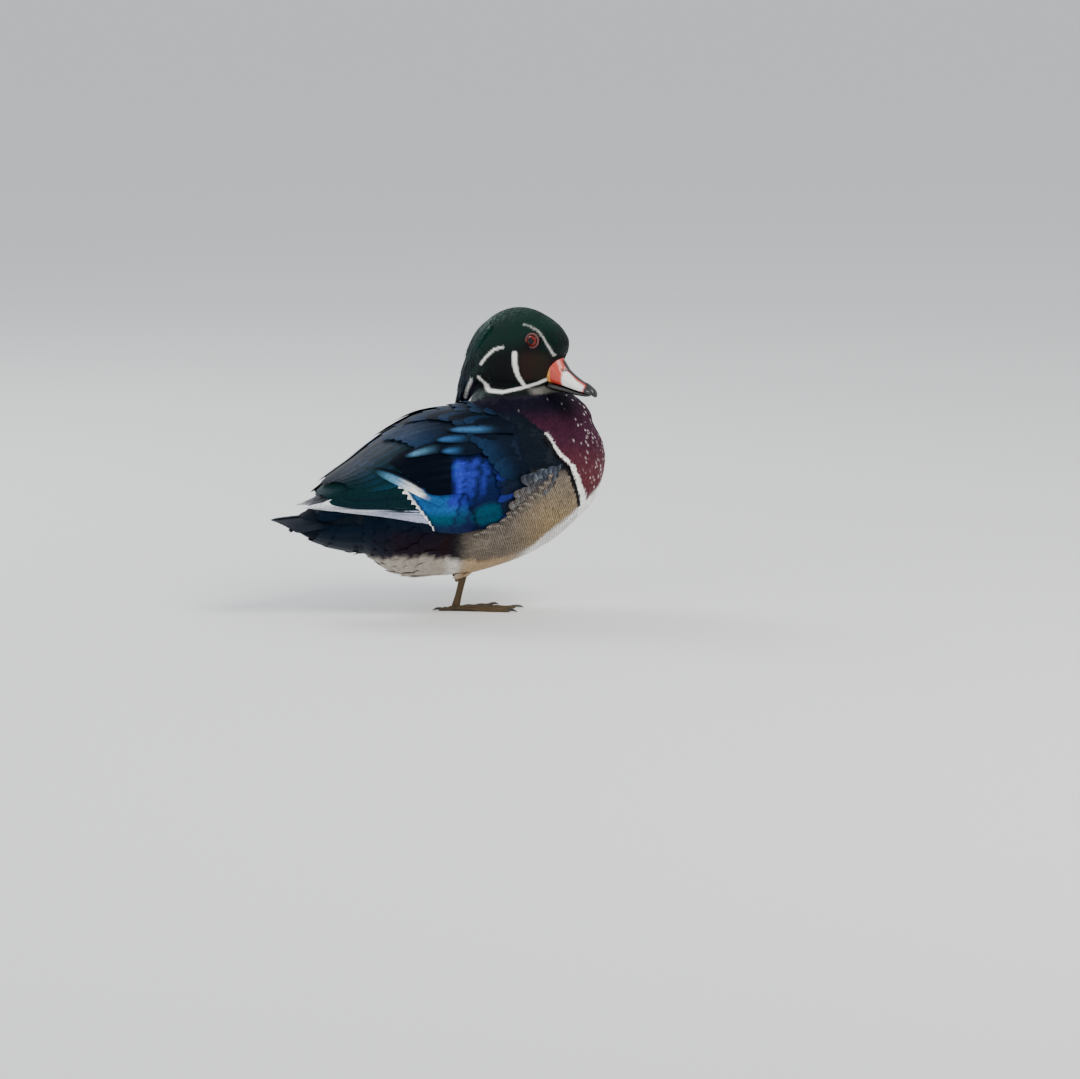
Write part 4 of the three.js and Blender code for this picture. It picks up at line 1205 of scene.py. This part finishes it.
def make_mantle():
    """The back's feathers between the folded wings, down to the rump."""
    draw = np.random.default_rng(33)
    plumes = Plumes()
    rows = 13
    for r in range(rows):
        share = r / (rows - 1)
        x = mix(-92, 40, share)
        half = mix(15, 26, share)
        for k in range(6):
            angle = mix(-half, half, (k + 0.5 * (r % 2)) / 5.5) + draw.normal(0, 0.6)
            length = mix(30, 22, share)
            lift = (-2.2, mix(-0.6, 1.2, share) + draw.normal(0, 0.1))
            root, tip = (x + length * 0.45, angle * 0.92), (x - length * 0.55, angle)
            where = on_wing(wing_form, root, tip, 0, lift)
            shade = draw.normal(1, 0.12)
            tint = lambda p, s, t: plain(SCAPULAR, BACK_BLUE, 0.7, 0.3)(p, s, t) * shade
            plumes.add(where, 13, tint, tip=0.5, rows=10, columns=5)
    return plumes.piece("mantle_feathers")


def make_leg_cover():
    """Loose belly feathers that close over the lifted leg."""
    draw = np.random.default_rng(44)
    plumes = Plumes()
    for k in range(26):
        share = k / 25
        x = mix(20, -44, share)
        low = -mix(146, 142, share) + draw.normal(0, 1.5)
        reach = mix(6.5, 5.0, share) + draw.normal(0, 0.4)
        where = on_wing(trunk_form, (x + 17, low + 24), (x - 3, low), 0, (-1.5, reach))
        shade = draw.normal(1, 0.05)
        # tips greyed towards the belly's painted shade grey
        tint = lambda p, s, t: lay(body_colour(p), SHADED_BELLY_GREY, 0.7 * smooth(s, 0.2, 0.7)) * shade
        plumes.add(where, 8, tint, tip=0.45, rows=11, columns=5)
    return plumes.piece("leg_cover_feathers")


TAIL_ROOT = -84
TAIL_TIP = -155.5
TAIL_PAIRS = 7


def make_tail():
    plumes = Plumes()
    for k in range(TAIL_PAIRS):
        for side in (1, -1):
            share = k / (TAIL_PAIRS - 1)
            root = np.array([TAIL_ROOT, side * (1.5 + 9.6 * share), 86 - 2.4 * share])
            tip = np.array([TAIL_TIP + 12.8 * share, side * (3 + 23 * share), 80.5 - 4.4 * share**1.5])
            slope = math.radians(8 + 22 * share) * side
            sideways = np.array([0, math.cos(slope), -math.sin(slope)])
            raised = np.array([0, math.sin(slope), math.cos(slope)])
            step = 0.5 * (TAIL_PAIRS - k) * 0.25 + (0.1 if side > 0 else 0)

            def where(s, offset, height):
                line = root + (tip - root) * s[..., None]
                return line + offset[..., None] * sideways + (height + step - 1.5)[..., None] * raised

            plumes.add(where, 12.5, plain(TAIL_BLACK, edge=RUMP), tip=0.86)
    for beneath in (False, True):
        for row, (start, end, count) in enumerate(((-86, -120, 9), (-78, -108, 8))):
            for k in range(count):
                share = k / (count - 1)
                angle = mix(-70, 70, share) + (180 if beneath else 0)
                middle = 1 - abs(2 * share - 1)
                inward = 5.4 if beneath else 0
                tip = (end - 5 * middle, angle * 0.97 + inward)
                rise = 0.1 + 0.3 * row if beneath else 0.4 + 0.5 * row
                where = on_wing(tail_form, (start, angle), tip, 0, (-1.2, rise))
                plumes.add(where, 12, plain(RUMP, edge=TAIL_BLACK), tip=0.5, rows=12)
    # the vent's own coverts, from the rear of the trunk
    draw = np.random.default_rng(17)
    for row in range(6):
        x = mix(-73, -31, row / 5)
        for k in range(13):
            angle = mix(96, 264, (k + 0.5 * (row % 2)) / 12.5) + draw.normal(0, 1.5)
            length = 22 + draw.normal(0, 1)
            where = on_wing(trunk_form, (x + length * 0.5, angle), (x - length * 0.5, angle), 0, (-2.4, 1.0))
            shade = draw.normal(1, 0.1)
            plumes.add(where, 13, lambda p, s, t: body_colour(p) * shade, tip=0.5, rows=9, columns=5)
    return plumes.piece("tail_feathers")


def make_crest():
    """Long silky plumes down the back of the head."""
    draw = np.random.default_rng(4)
    plumes = Plumes()
    for start, end, spread, lift, count in (
        (214, 163, (64, 70), 0.0, 26),
        (226, 176, (78, 78), 0.5, 30),
        (236, 190, (84, 84), 0.9, 30),
        (243, 206, (80, 84), 1.1, 24),
    ):
        for k in range(count):
            aside = 2 * k / (count - 1) - 1 + draw.normal(0, 0.03)
            root = (start - 8 * abs(aside) + draw.normal(0, 2), 180 + spread[0] * aside)
            tip = (end + 8 * abs(aside) + draw.normal(0, 2.5), 180 + spread[1] * aside + draw.normal(0, 4))
            where = on_wing(crest_form, root, tip, 0, (-0.8, lift + draw.normal(0, 0.2)))
            tint = lambda p, s, t: head_colour(p)
            plumes.add(where, 3.6, tint, tip=0.45, rows=11, columns=3, thick=(0.5, 0.2))
    return plumes.piece("crest_plumes")


# Finishes


def set_inputs(tree, made, inputs):
    """Sets a node's inputs, by name or number; an output of another node is linked."""
    for key, value in inputs.items():
        if isinstance(value, bpy.types.NodeSocket):
            tree.links.new(value, made.inputs[key])
        else:
            made.inputs[key].default_value = value


def node(tree, kind, inputs=None, **values):
    made = tree.nodes.new(kind)
    for key, value in values.items():
        setattr(made, key, value)
    set_inputs(tree, made, inputs or {})
    return made


def new_finish(name, inputs):
    """A new finish, with its tree and its shader, whose inputs are set."""
    finish = bpy.data.materials.new(name)
    finish.use_nodes = True
    tree = finish.node_tree
    shader = tree.nodes["Principled BSDF"]
    set_inputs(tree, shader, inputs)
    return finish, tree, shader


def mottled(tree, tint, scale, detail, span, levels):
    """A tint made lighter and darker by a noise; gives the places, the noise and the colour."""
    place = node(tree, "ShaderNodeTexCoord").outputs["Object"]
    noise = node(tree, "ShaderNodeTexNoise", {"Scale": scale, "Detail": detail, "Vector": place})
    noise = noise.outputs["Fac"]
    ends = dict(zip(("From Min", "From Max", "To Min", "To Max"), span + levels))
    spread = node(tree, "ShaderNodeMapRange", {**ends, "Value": noise})
    shade = node(tree, "ShaderNodeVectorMath", {0: tint, "Scale": spread.outputs[0]}, operation="SCALE")
    return place, noise, shade.outputs[0]


def fine_bars(tree, place, colour):
    """Dark wavy lines, one or two millimetres apart, where the flank's attribute says so."""
    waves = {"Scale": 190, "Distortion": 5.0, "Detail": 2, "Detail Scale": 1.6}
    lines = node(tree, "ShaderNodeTexWave", waves, bands_direction="X")
    turn = node(tree, "ShaderNodeMapping", {"Rotation": (0, math.radians(24), 0), "Vector": place})
    set_inputs(tree, lines, {"Vector": turn.outputs[0]})
    ends = {"From Min": 0.52, "From Max": 0.72, "To Max": 0.62}
    sharp = node(tree, "ShaderNodeMapRange", {**ends, "Value": lines.outputs["Fac"]})
    where = node(tree, "ShaderNodeAttribute", attribute_name="fine_bars")
    both = {0: sharp.outputs[0], 1: where.outputs["Fac"]}
    amount = node(tree, "ShaderNodeMath", both, operation="MULTIPLY")
    mixed = {"B": (0.02, 0.018, 0.016, 1), "Factor": amount.outputs[0], "A": colour}
    return node(tree, "ShaderNodeMix", mixed, data_type="RGBA").outputs["Result"]


def feather_finish(name, rough, sheen, barbs, bump, gloss, glint, bars=False):
    """Feathers tinted by their own colours, with fine barbs slanting from the shaft."""
    surface = {
        "Roughness": rough,
        "Sheen Weight": sheen,
        "Sheen Roughness": 0.4,
        "Specular IOR Level": gloss,
        "Specular Tint": (*tone(glint), 1),
    }
    finish, tree, shader = new_finish(name, surface)
    tint = node(tree, "ShaderNodeVertexColor", layer_name="tint")
    along = node(tree, "ShaderNodeAttribute", attribute_name="along")
    across = node(tree, "ShaderNodeAttribute", attribute_name="across")
    slant = node(tree, "ShaderNodeMath", {0: across.outputs["Fac"]}, operation="ABSOLUTE")
    slanted = {0: slant.outputs[0], 1: -0.16, 2: along.outputs["Fac"]}
    lean = node(tree, "ShaderNodeMath", slanted, operation="MULTIPLY_ADD")
    turns = node(tree, "ShaderNodeMath", {0: lean.outputs[0], 1: barbs * 6.283}, operation="MULTIPLY")
    wave = node(tree, "ShaderNodeMath", {0: turns.outputs[0]}, operation="SINE")
    place, _, colour = mottled(tree, tint.outputs["Color"], 420, 3, (0.3, 0.7), (0.78, 1.22))
    if bars:
        colour = fine_bars(tree, place, colour)
    relief = node(tree, "ShaderNodeBump", {"Strength": bump, "Distance": 0.0003, "Height": wave.outputs[0]})
    set_inputs(tree, shader, {"Base Color": colour, "Normal": relief.outputs[0]})
    return finish


def tinted_finish(name, rough, bump_scale, bump, coat=0.0, gloss=0.5):
    """Horn or skin tinted by its own colours, with a fine grain."""
    surface = {"Roughness": rough, "Coat Weight": coat, "Coat Roughness": 0.12, "Specular IOR Level": gloss}
    finish, tree, shader = new_finish(name, surface)
    tint = node(tree, "ShaderNodeVertexColor", layer_name="tint")
    _, grain, colour = mottled(tree, tint.outputs["Color"], bump_scale, 4, (0, 1), (0.82, 1.18))
    relief = node(tree, "ShaderNodeBump", {"Strength": bump, "Distance": 0.0004, "Height": grain})
    set_inputs(tree, shader, {"Base Color": colour, "Normal": relief.outputs[0]})
    return finish


def set_finish(piece, finish):
    piece.data.materials.clear()
    piece.data.materials.append(finish)


# Bill and eyes


def bill_colour(p):
    f, out, z = head_places(p)
    a = np.abs(out)
    ridge = np.interp(f, [28, 35, 40, 46, 55, 62.5, 69], [215, 213.5, 208.5, 200, 193, 189, 183])
    drop = ridge - z
    c = spread_over(p, tone("bd3a2a"))
    rim = np.interp(z, [186, 200, 216], [32.8, 33.6, 31.1])
    c = lay(c, tone("c98a3a"), 1 - smooth(f, rim, rim + 0.8))
    white = smooth(f, 43, 45.5) * (1 - smooth(f, 62, 64)) * smooth(drop, 1.0, 1.9) * smooth(z, 183, 184)
    c = lay(c, WHITE, white)
    c = lay(c, BLACK, smooth(f, 39, 42) * (1 - smooth(a, 2.2, 3.0)) * (1 - smooth(drop, 0.9, 1.6)))
    c = lay(c, BLACK, smooth(f, 62.5, 64.5))
    cutting_edge = np.interp(f, [35, 50, 68], [188.4, 185, 180.6])
    return lay(c, BLACK, smooth(f, 40, 43) * (1 - smooth(z - cutting_edge, 0.5, 1.1)))


def make_bill():
    upper = loft("bill_upper_horn", bill_upper_form, 90, 80)
    p, n = points_of(upper), normals_of(upper)
    f, out, z = head_places(p)
    nostril = 1 - smooth(np.hypot((f - NOSTRIL["forward"]) / 2.6, (z - NOSTRIL["height"]) / 1.0), 0.5, 1.1)
    nostril = nostril * (np.abs(out) > 2)
    # the nostril painted black: painted shade inside its opening
    tint = lay(bill_colour(p), BLACK, nostril)
    move_points(upper, p - n * (NOSTRIL["depth"] * nostril)[:, None])
    paint(upper, tint)
    lower = loft("bill_lower_horn", bill_lower_form, 50, 40)
    paint_plain(lower, "14110f")
    nail = loft("bill_nail_horn", bill_nail_form, 40, 32)
    paint_plain(nail, "0d0c0c")
    return upper, lower, nail


def eye_axis(side):
    return head_frame(0.0, 1.0 * side, 0.0) - head_frame(0.0, 0.0, 0.0)


def eye_colour(p, side):
    away = p - eye_middle(side)
    away = away / np.linalg.norm(away, axis=1, keepdims=True)
    turn = np.degrees(np.arccos(np.clip(away @ eye_axis(side), -1, 1)))
    c = spread_over(p, tone("5c1412"))
    c = lay(c, tone("7c241d"), band(np.abs(turn - 41), 4, 4))
    c = lay(c, tone("120403"), smooth(turn, 47, 53))
    return lay(c, tone("020202"), band(turn, 30, 1.0))


def make_eye(side):
    label = "right" if side > 0 else "left"
    middle = eye_middle(side)
    eye = ball(f"eyeball_{label}", middle, EYE["radius"], 48, 64)
    paint(eye, eye_colour(points_of(eye), side))
    # the ring of bare skin, a beaded hoop laid round the eye
    axis = Vector(eye_axis(side))
    turn = np.array(Vector((0, 0, 1)).rotation_difference(axis).to_matrix())
    rounds, sides = EYE_RING["rounds"], EYE_RING["sides"]
    around = np.linspace(0, 2 * np.pi, rounds, endpoint=False)
    a, b = np.meshgrid(around, np.linspace(0, 2 * np.pi, sides, endpoint=False), indexing="ij")
    bead = 1 + 0.10 * np.sin(a * EYE_RING["beads"]) * np.maximum(0, np.cos(b))
    radius, tube = EYE_RING["radius"], EYE_RING["tube"] * bead
    out = tube * np.cos(b)
    hoop = [(radius + out) * np.cos(a), (radius * 0.97 + out) * np.sin(a), tube * np.sin(b)]
    points = np.stack(hoop, -1).reshape(-1, 3) @ turn.T + middle + np.array(axis) * EYE_RING["out"]
    faces = grid_faces(rounds + 1, sides, closed=True) % len(points)
    lid = outward(mesh_piece(f"eye_ring_{label}", points, faces))
    grain = np.random.default_rng(3).normal(1, 0.05, (len(points), 1))
    paint(lid, spread_over(points, tone("5a2b27")) * grain)
    return eye, lid


# Legs and feet


def toe_table(length, half):
    """Stations of a toe, swelling at its joints."""
    swells = ((0.02, 1.05), (0.2, 0.92), (0.38, 1.08), (0.55, 0.88), (0.7, 1.06), (0.85, 0.85), (0.96, 0.9))
    rows = [(-4, 1.5, 1.5, 1.5, 0)]
    for share, swell in swells:
        top = TOE_HEIGHT * (1 - 0.38 * share) * swell
        rows.append((mix(-2, length, share), top, -1, 1.2, half * (1 - 0.3 * share) * swell))
    return rows + [(length + 1, 1.2, 1.2, 1.2, 0)]


def web_sheet(a, b):
    """The web between two toes, its front edge drawn in and its middle slack."""
    along, share = np.meshgrid(np.linspace(0.08, 1, 40), np.linspace(0, 1, 30), indexing="ij")
    arch = 4 * share * (1 - share)
    reach = mix(a[1], b[1], share) * (1 - 0.2 * arch) * 0.93
    angle = np.radians(mix(a[0], b[0], share))
    x = LEG_FOOT[0] + np.cos(angle) * along * reach
    y = LEG_FOOT[1] + np.sin(angle) * along * reach
    top = WEB_THICKNESS - 0.25 * arch + 0.12 * np.sin(share * 40)
    points = np.vstack([np.stack([x, y, z], -1).reshape(-1, 3) for z in (top, -0.4 + 0 * x)])
    return outward(mesh_piece("web", points, sheet_faces(*along.shape)))


SCUTE = 1.7
LEG_DARK = tone("2a2114")
LEG_OLIVE = tone("4e3c22")
WEB_DARK = tone("1d1812")


def scutes(along):
    """Height from 0 to 1 of overlapping plates set along a leg or toe."""
    t = (along / SCUTE) % 1.0
    return smooth(t, 0.0, 0.22) * (1 - 0.35 * t)


def plated(piece, along, plate, webbed):
    """Raises and tints the plates of a leg; along runs down each toe, plate and webbed are shares."""
    p, n = points_of(piece), normals_of(piece)
    height = scutes(along) * plate
    p = p + n * (PLATE_HEIGHT * height)[:, None]
    p[:, 2] = np.maximum(p[:, 2], 0.0)
    move_points(piece, p)
    c = lay(spread_over(p, LEG_DARK), LEG_OLIVE, 0.35 + 0.65 * height)
    paint(piece, lay(c, WEB_DARK, webbed * 0.8))
    piece.data.shade_smooth()
    return piece


def make_standing_leg():
    toes = [loft("toe", Form(toe_table(t[1], t[2]), toe_frame(t[0]), 2, 3), 40, 20) for t in TOES.values()]
    webs = [web_sheet(TOES["outer"], TOES["middle"]), web_sheet(TOES["middle"], TOES["inner"])]
    shank = loft("shank", Form(TARSUS, leg_frame), 40, 24)
    leg = fused("leg_right_skin", toes + webs + [shank], LEG_VOXEL, LEG_ROUNDS)
    p = points_of(leg)
    up_leg = (p - LEG_FOOT) @ LEG_AXIS
    along, plate, near = up_leg, smooth(up_leg, 2, 5), np.full(len(p), 99.0)
    for degrees, _, half in TOES.values():
        c, s = math.cos(math.radians(degrees)), math.sin(math.radians(degrees))
        x, y = p[:, 0] - LEG_FOOT[0], p[:, 1] - LEG_FOOT[1]
        ahead, aside = c * x + s * y, np.abs(c * y - s * x)
        aside = np.where(ahead < -1, 50, aside)
        mine = (aside < near) & (up_leg < 4.5)
        along = np.where(mine, ahead, along)
        ridge = smooth(p[:, 2], 1.6, 2.4) * (1 - smooth(aside, half * 0.8, half * 1.1))
        plate = np.where(mine, ridge, plate)
        near = np.where(aside < near, aside, near)
    webbed = (1 - smooth(p[:, 2], 1.5, 1.9)) * smooth(near, 2.4, 3.4) * (up_leg < 4.5)
    return plated(leg, along, plate, webbed)


def make_tucked_leg():
    shank = loft("shank", Form(TUCKED_TARSUS, tucked_frame), 40, 28)
    toes = []
    for aside, drop in ((-3.0, 0.4), (0.2, 0.0), (3.4, 0.6)):
        table = []
        for along, top, bottom, middle, half, shift in TUCKED_FOOT:
            shift = shift + aside * (half > 0)
            table.append((along, top - drop, bottom - drop, middle - drop, half * 0.42, shift))
        toes.append(loft("toe", Form(table, tucked_frame), 40, 20))
    table = []
    for along, top, bottom, middle, half, shift in TUCKED_FOOT:
        inside = half > 0
        table.append((along, top - 1.2 * inside, bottom + 1.6 * inside, middle, half * 0.92, shift))
    web = loft("web", Form(table, tucked_frame), 40, 30)
    leg = fused("leg_left_skin", [shank, web] + toes, LEG_VOXEL, LEG_ROUNDS)
    p = points_of(leg)
    foot = p[:, 0] < -19
    low = smooth(36 - 0.4 * (p[:, 0] + 20) * foot - p[:, 2], 0, 2)
    return plated(leg, -p[:, 0], 0.8 * low, 0.25 * foot)


def claw_table(length, half):
    long = half * 2.4
    return [
        (length - 3, 1.8, 1.8, 1.8, 0),
        (length - 2, 2.9, 0.9, 1.9, 1.1),
        (length + long * 0.4, 3, 0.9, 2, 1),
        (length + long * 0.8, 1.8, 0.6, 1.2, 0.6),
        (length + long, 0.5, 0.5, 0.5, 0),
    ]


def tucked_claw_table(aside):
    return [
        (-56, 41.2, 41.2, 41.2, 0, aside),
        (-58, 43, 40.4, 41.6, 1.1, aside),
        (-64, 45.6, 43.4, 44.6, 1, aside),
        (-68.5, 46.8, 45.8, 46.4, 0.6, aside),
        (-70.5, 46.6, 46.6, 46.6, 0, aside),
    ]


def make_claws():
    """A horn claw for each toe, as pairs of the piece and the node that it stands for."""
    pairs = []
    for name, (degrees, length, half) in TOES.items():
        form = Form(claw_table(length, half), toe_frame(degrees))
        pairs.append((loft(f"horn_claw_right_{name}", form, 26, 18), f"claw_right_{name}"))
    for name, aside in TUCKED_CLAWS.items():
        form = Form(tucked_claw_table(aside), tucked_frame)
        pairs.append((loft(f"horn_claw_left_{name}", form, 26, 18), f"claw_left_{name}"))
    for piece, _ in pairs:
        p = points_of(piece)
        share = (p[:, 0] - p[:, 0].min()) / np.ptp(p[:, 0])
        paint(piece, lay(spread_over(p, tone("15100c")), tone("3a2c1e"), np.abs(share - 0.5)))
    return pairs


# Stage


def make_stage():
    bpy.ops.mesh.primitive_plane_add(size=FLOOR_SIZE)
    floor = bpy.context.object
    floor.name = "studio_floor"
    finish, _, _ = new_finish("pale_floor", {"Base Color": (0.82, 0.82, 0.81, 1), "Roughness": 0.85})
    floor.data.materials.append(finish)
    world = bpy.data.worlds.new("soft_studio")
    bpy.context.scene.world = world
    world.use_nodes = True
    tree = world.node_tree
    set_inputs(tree, tree.nodes["Background"], {"Color": (0.93, 0.96, 1.0, 1), "Strength": 0.85})
    for name, place, size, power, colour in (
        ("key", (1.0, -1.5, 2.0), 1.1, 46, (1.0, 0.98, 0.94)),
        ("fill", (-1.8, -1.2, 0.9), 1.6, 10, (0.93, 0.96, 1.0)),
        ("rim", (-0.9, 1.4, 1.6), 1.0, 24, (0.95, 0.97, 1.0)),
    ):
        lamp = bpy.data.lights.new(name, "AREA")
        lamp.size = size
        lamp.energy = power
        lamp.color = colour
        holder = bpy.data.objects.new(name, lamp)
        holder.location = place
        aim = Vector((0, 0, 0.12)) - Vector(place)
        holder.rotation_euler = aim.to_track_quat("-Z", "Y").to_euler()
        bpy.context.scene.collection.objects.link(holder)


def make_camera():
    a, e = CAMERA_AZIMUTH, CAMERA_ELEVATION
    away = Vector((math.sin(a) * math.cos(e), -math.cos(a) * math.cos(e), math.sin(e)))
    right = Vector((math.cos(a), math.sin(a), 0))
    up = Vector((-math.sin(a) * math.sin(e), math.cos(a) * math.sin(e), math.cos(e)))
    scale = MM_PER_PIXEL * MM
    aside, above = PHOTO_CENTRE[0] - FOOT_PIXEL[0], FOOT_PIXEL[1] - PHOTO_CENTRE[1]
    target = right * aside * scale + up * above * scale
    lens = bpy.data.cameras.new("camera")
    lens.sensor_width = 36
    lens.lens = 36 * CAMERA_DISTANCE / (PHOTO_WIDTH * scale)
    camera = bpy.data.objects.new("camera", lens)
    camera.location = target + away * CAMERA_DISTANCE
    camera.rotation_euler = (-away).to_track_quat("-Z", "Y").to_euler()
    bpy.context.scene.collection.objects.link(camera)
    bpy.context.scene.camera = camera


# The whole bird

make_stage()
make_camera()

skin = make_skin()
skin_points = points_of(skin)
on_head = headness(skin_points)[:, None]
paint(skin, head_colour(skin_points) * on_head + body_colour(skin_points) * (1 - on_head))

soft = feather_finish("soft_plumage", 0.78, 0.02, 7, 0.3, 0.14, "b8a8b8", bars=True)
silk = feather_finish("silky_head_plumage", 0.38, 0.0, 4, 0.3, 0.42, "3fa58c")
glossy = feather_finish("glossy_flight_feathers", 0.45, 0.0, 60, 0.25, 0.3, "40609a")
skin_finish = tinted_finish("skin_under_plumage", 0.85, 900, 0.3, gloss=0.2)
horn = tinted_finish("bill_horn", 0.34, 700, 0.12, coat=0.25)
wet = tinted_finish("wet_eye", 0.06, 900, 0.0, coat=0.12, gloss=0.2)
leg_skin = tinted_finish("scaly_leg_skin", 0.55, 1600, 0.35, gloss=0.35)
lid_skin = tinted_finish("eye_ring_skin", 0.5, 1500, 0.4)

set_finish(skin, skin_finish)
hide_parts("trunk", "neck", "head", "thigh_right")
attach(skin, "root")

for piece in make_coat(skin):
    head = piece.name.startswith("head")
    set_finish(piece, silk if head else soft)
    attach(piece, "root")

for side, label in ((1, "right"), (-1, "left")):
    flank = make_flank(side)
    set_finish(flank, soft)
    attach(flank, "root")
    wing = make_wing(side)
    set_finish(wing, glossy)
    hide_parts(f"wing_{label}")
    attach(wing, "root")
    eye, lid = make_eye(side)
    set_finish(eye, wet)
    set_finish(lid, lid_skin)
    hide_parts(f"eye_{label}")
    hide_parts(f"eyelid_{label}")
    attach(eye, "root")
    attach(lid, "root")

mantle = make_mantle()
set_finish(mantle, glossy)
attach(mantle, "root")
leg_cover = make_leg_cover()
set_finish(leg_cover, soft)
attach(leg_cover, "root")

tail = make_tail()
set_finish(tail, glossy)
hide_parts("tail")
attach(tail, "root")

crest = make_crest()
set_finish(crest, silk)
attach(crest, "root")

for piece, name in zip(make_bill(), ("bill_upper", "bill_lower", "bill_nail")):
    set_finish(piece, horn)
    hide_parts(name)
    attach(piece, "root")

standing_leg, tucked_leg = make_standing_leg(), make_tucked_leg()
for leg, side in ((standing_leg, "right"), (tucked_leg, "left")):
    set_finish(leg, leg_skin)
    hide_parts(f"tarsus_{side}", f"foot_{side}")
    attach(leg, "root")

for claw, name in make_claws():
    set_finish(claw, horn)
    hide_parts(name)
    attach(claw, "root")
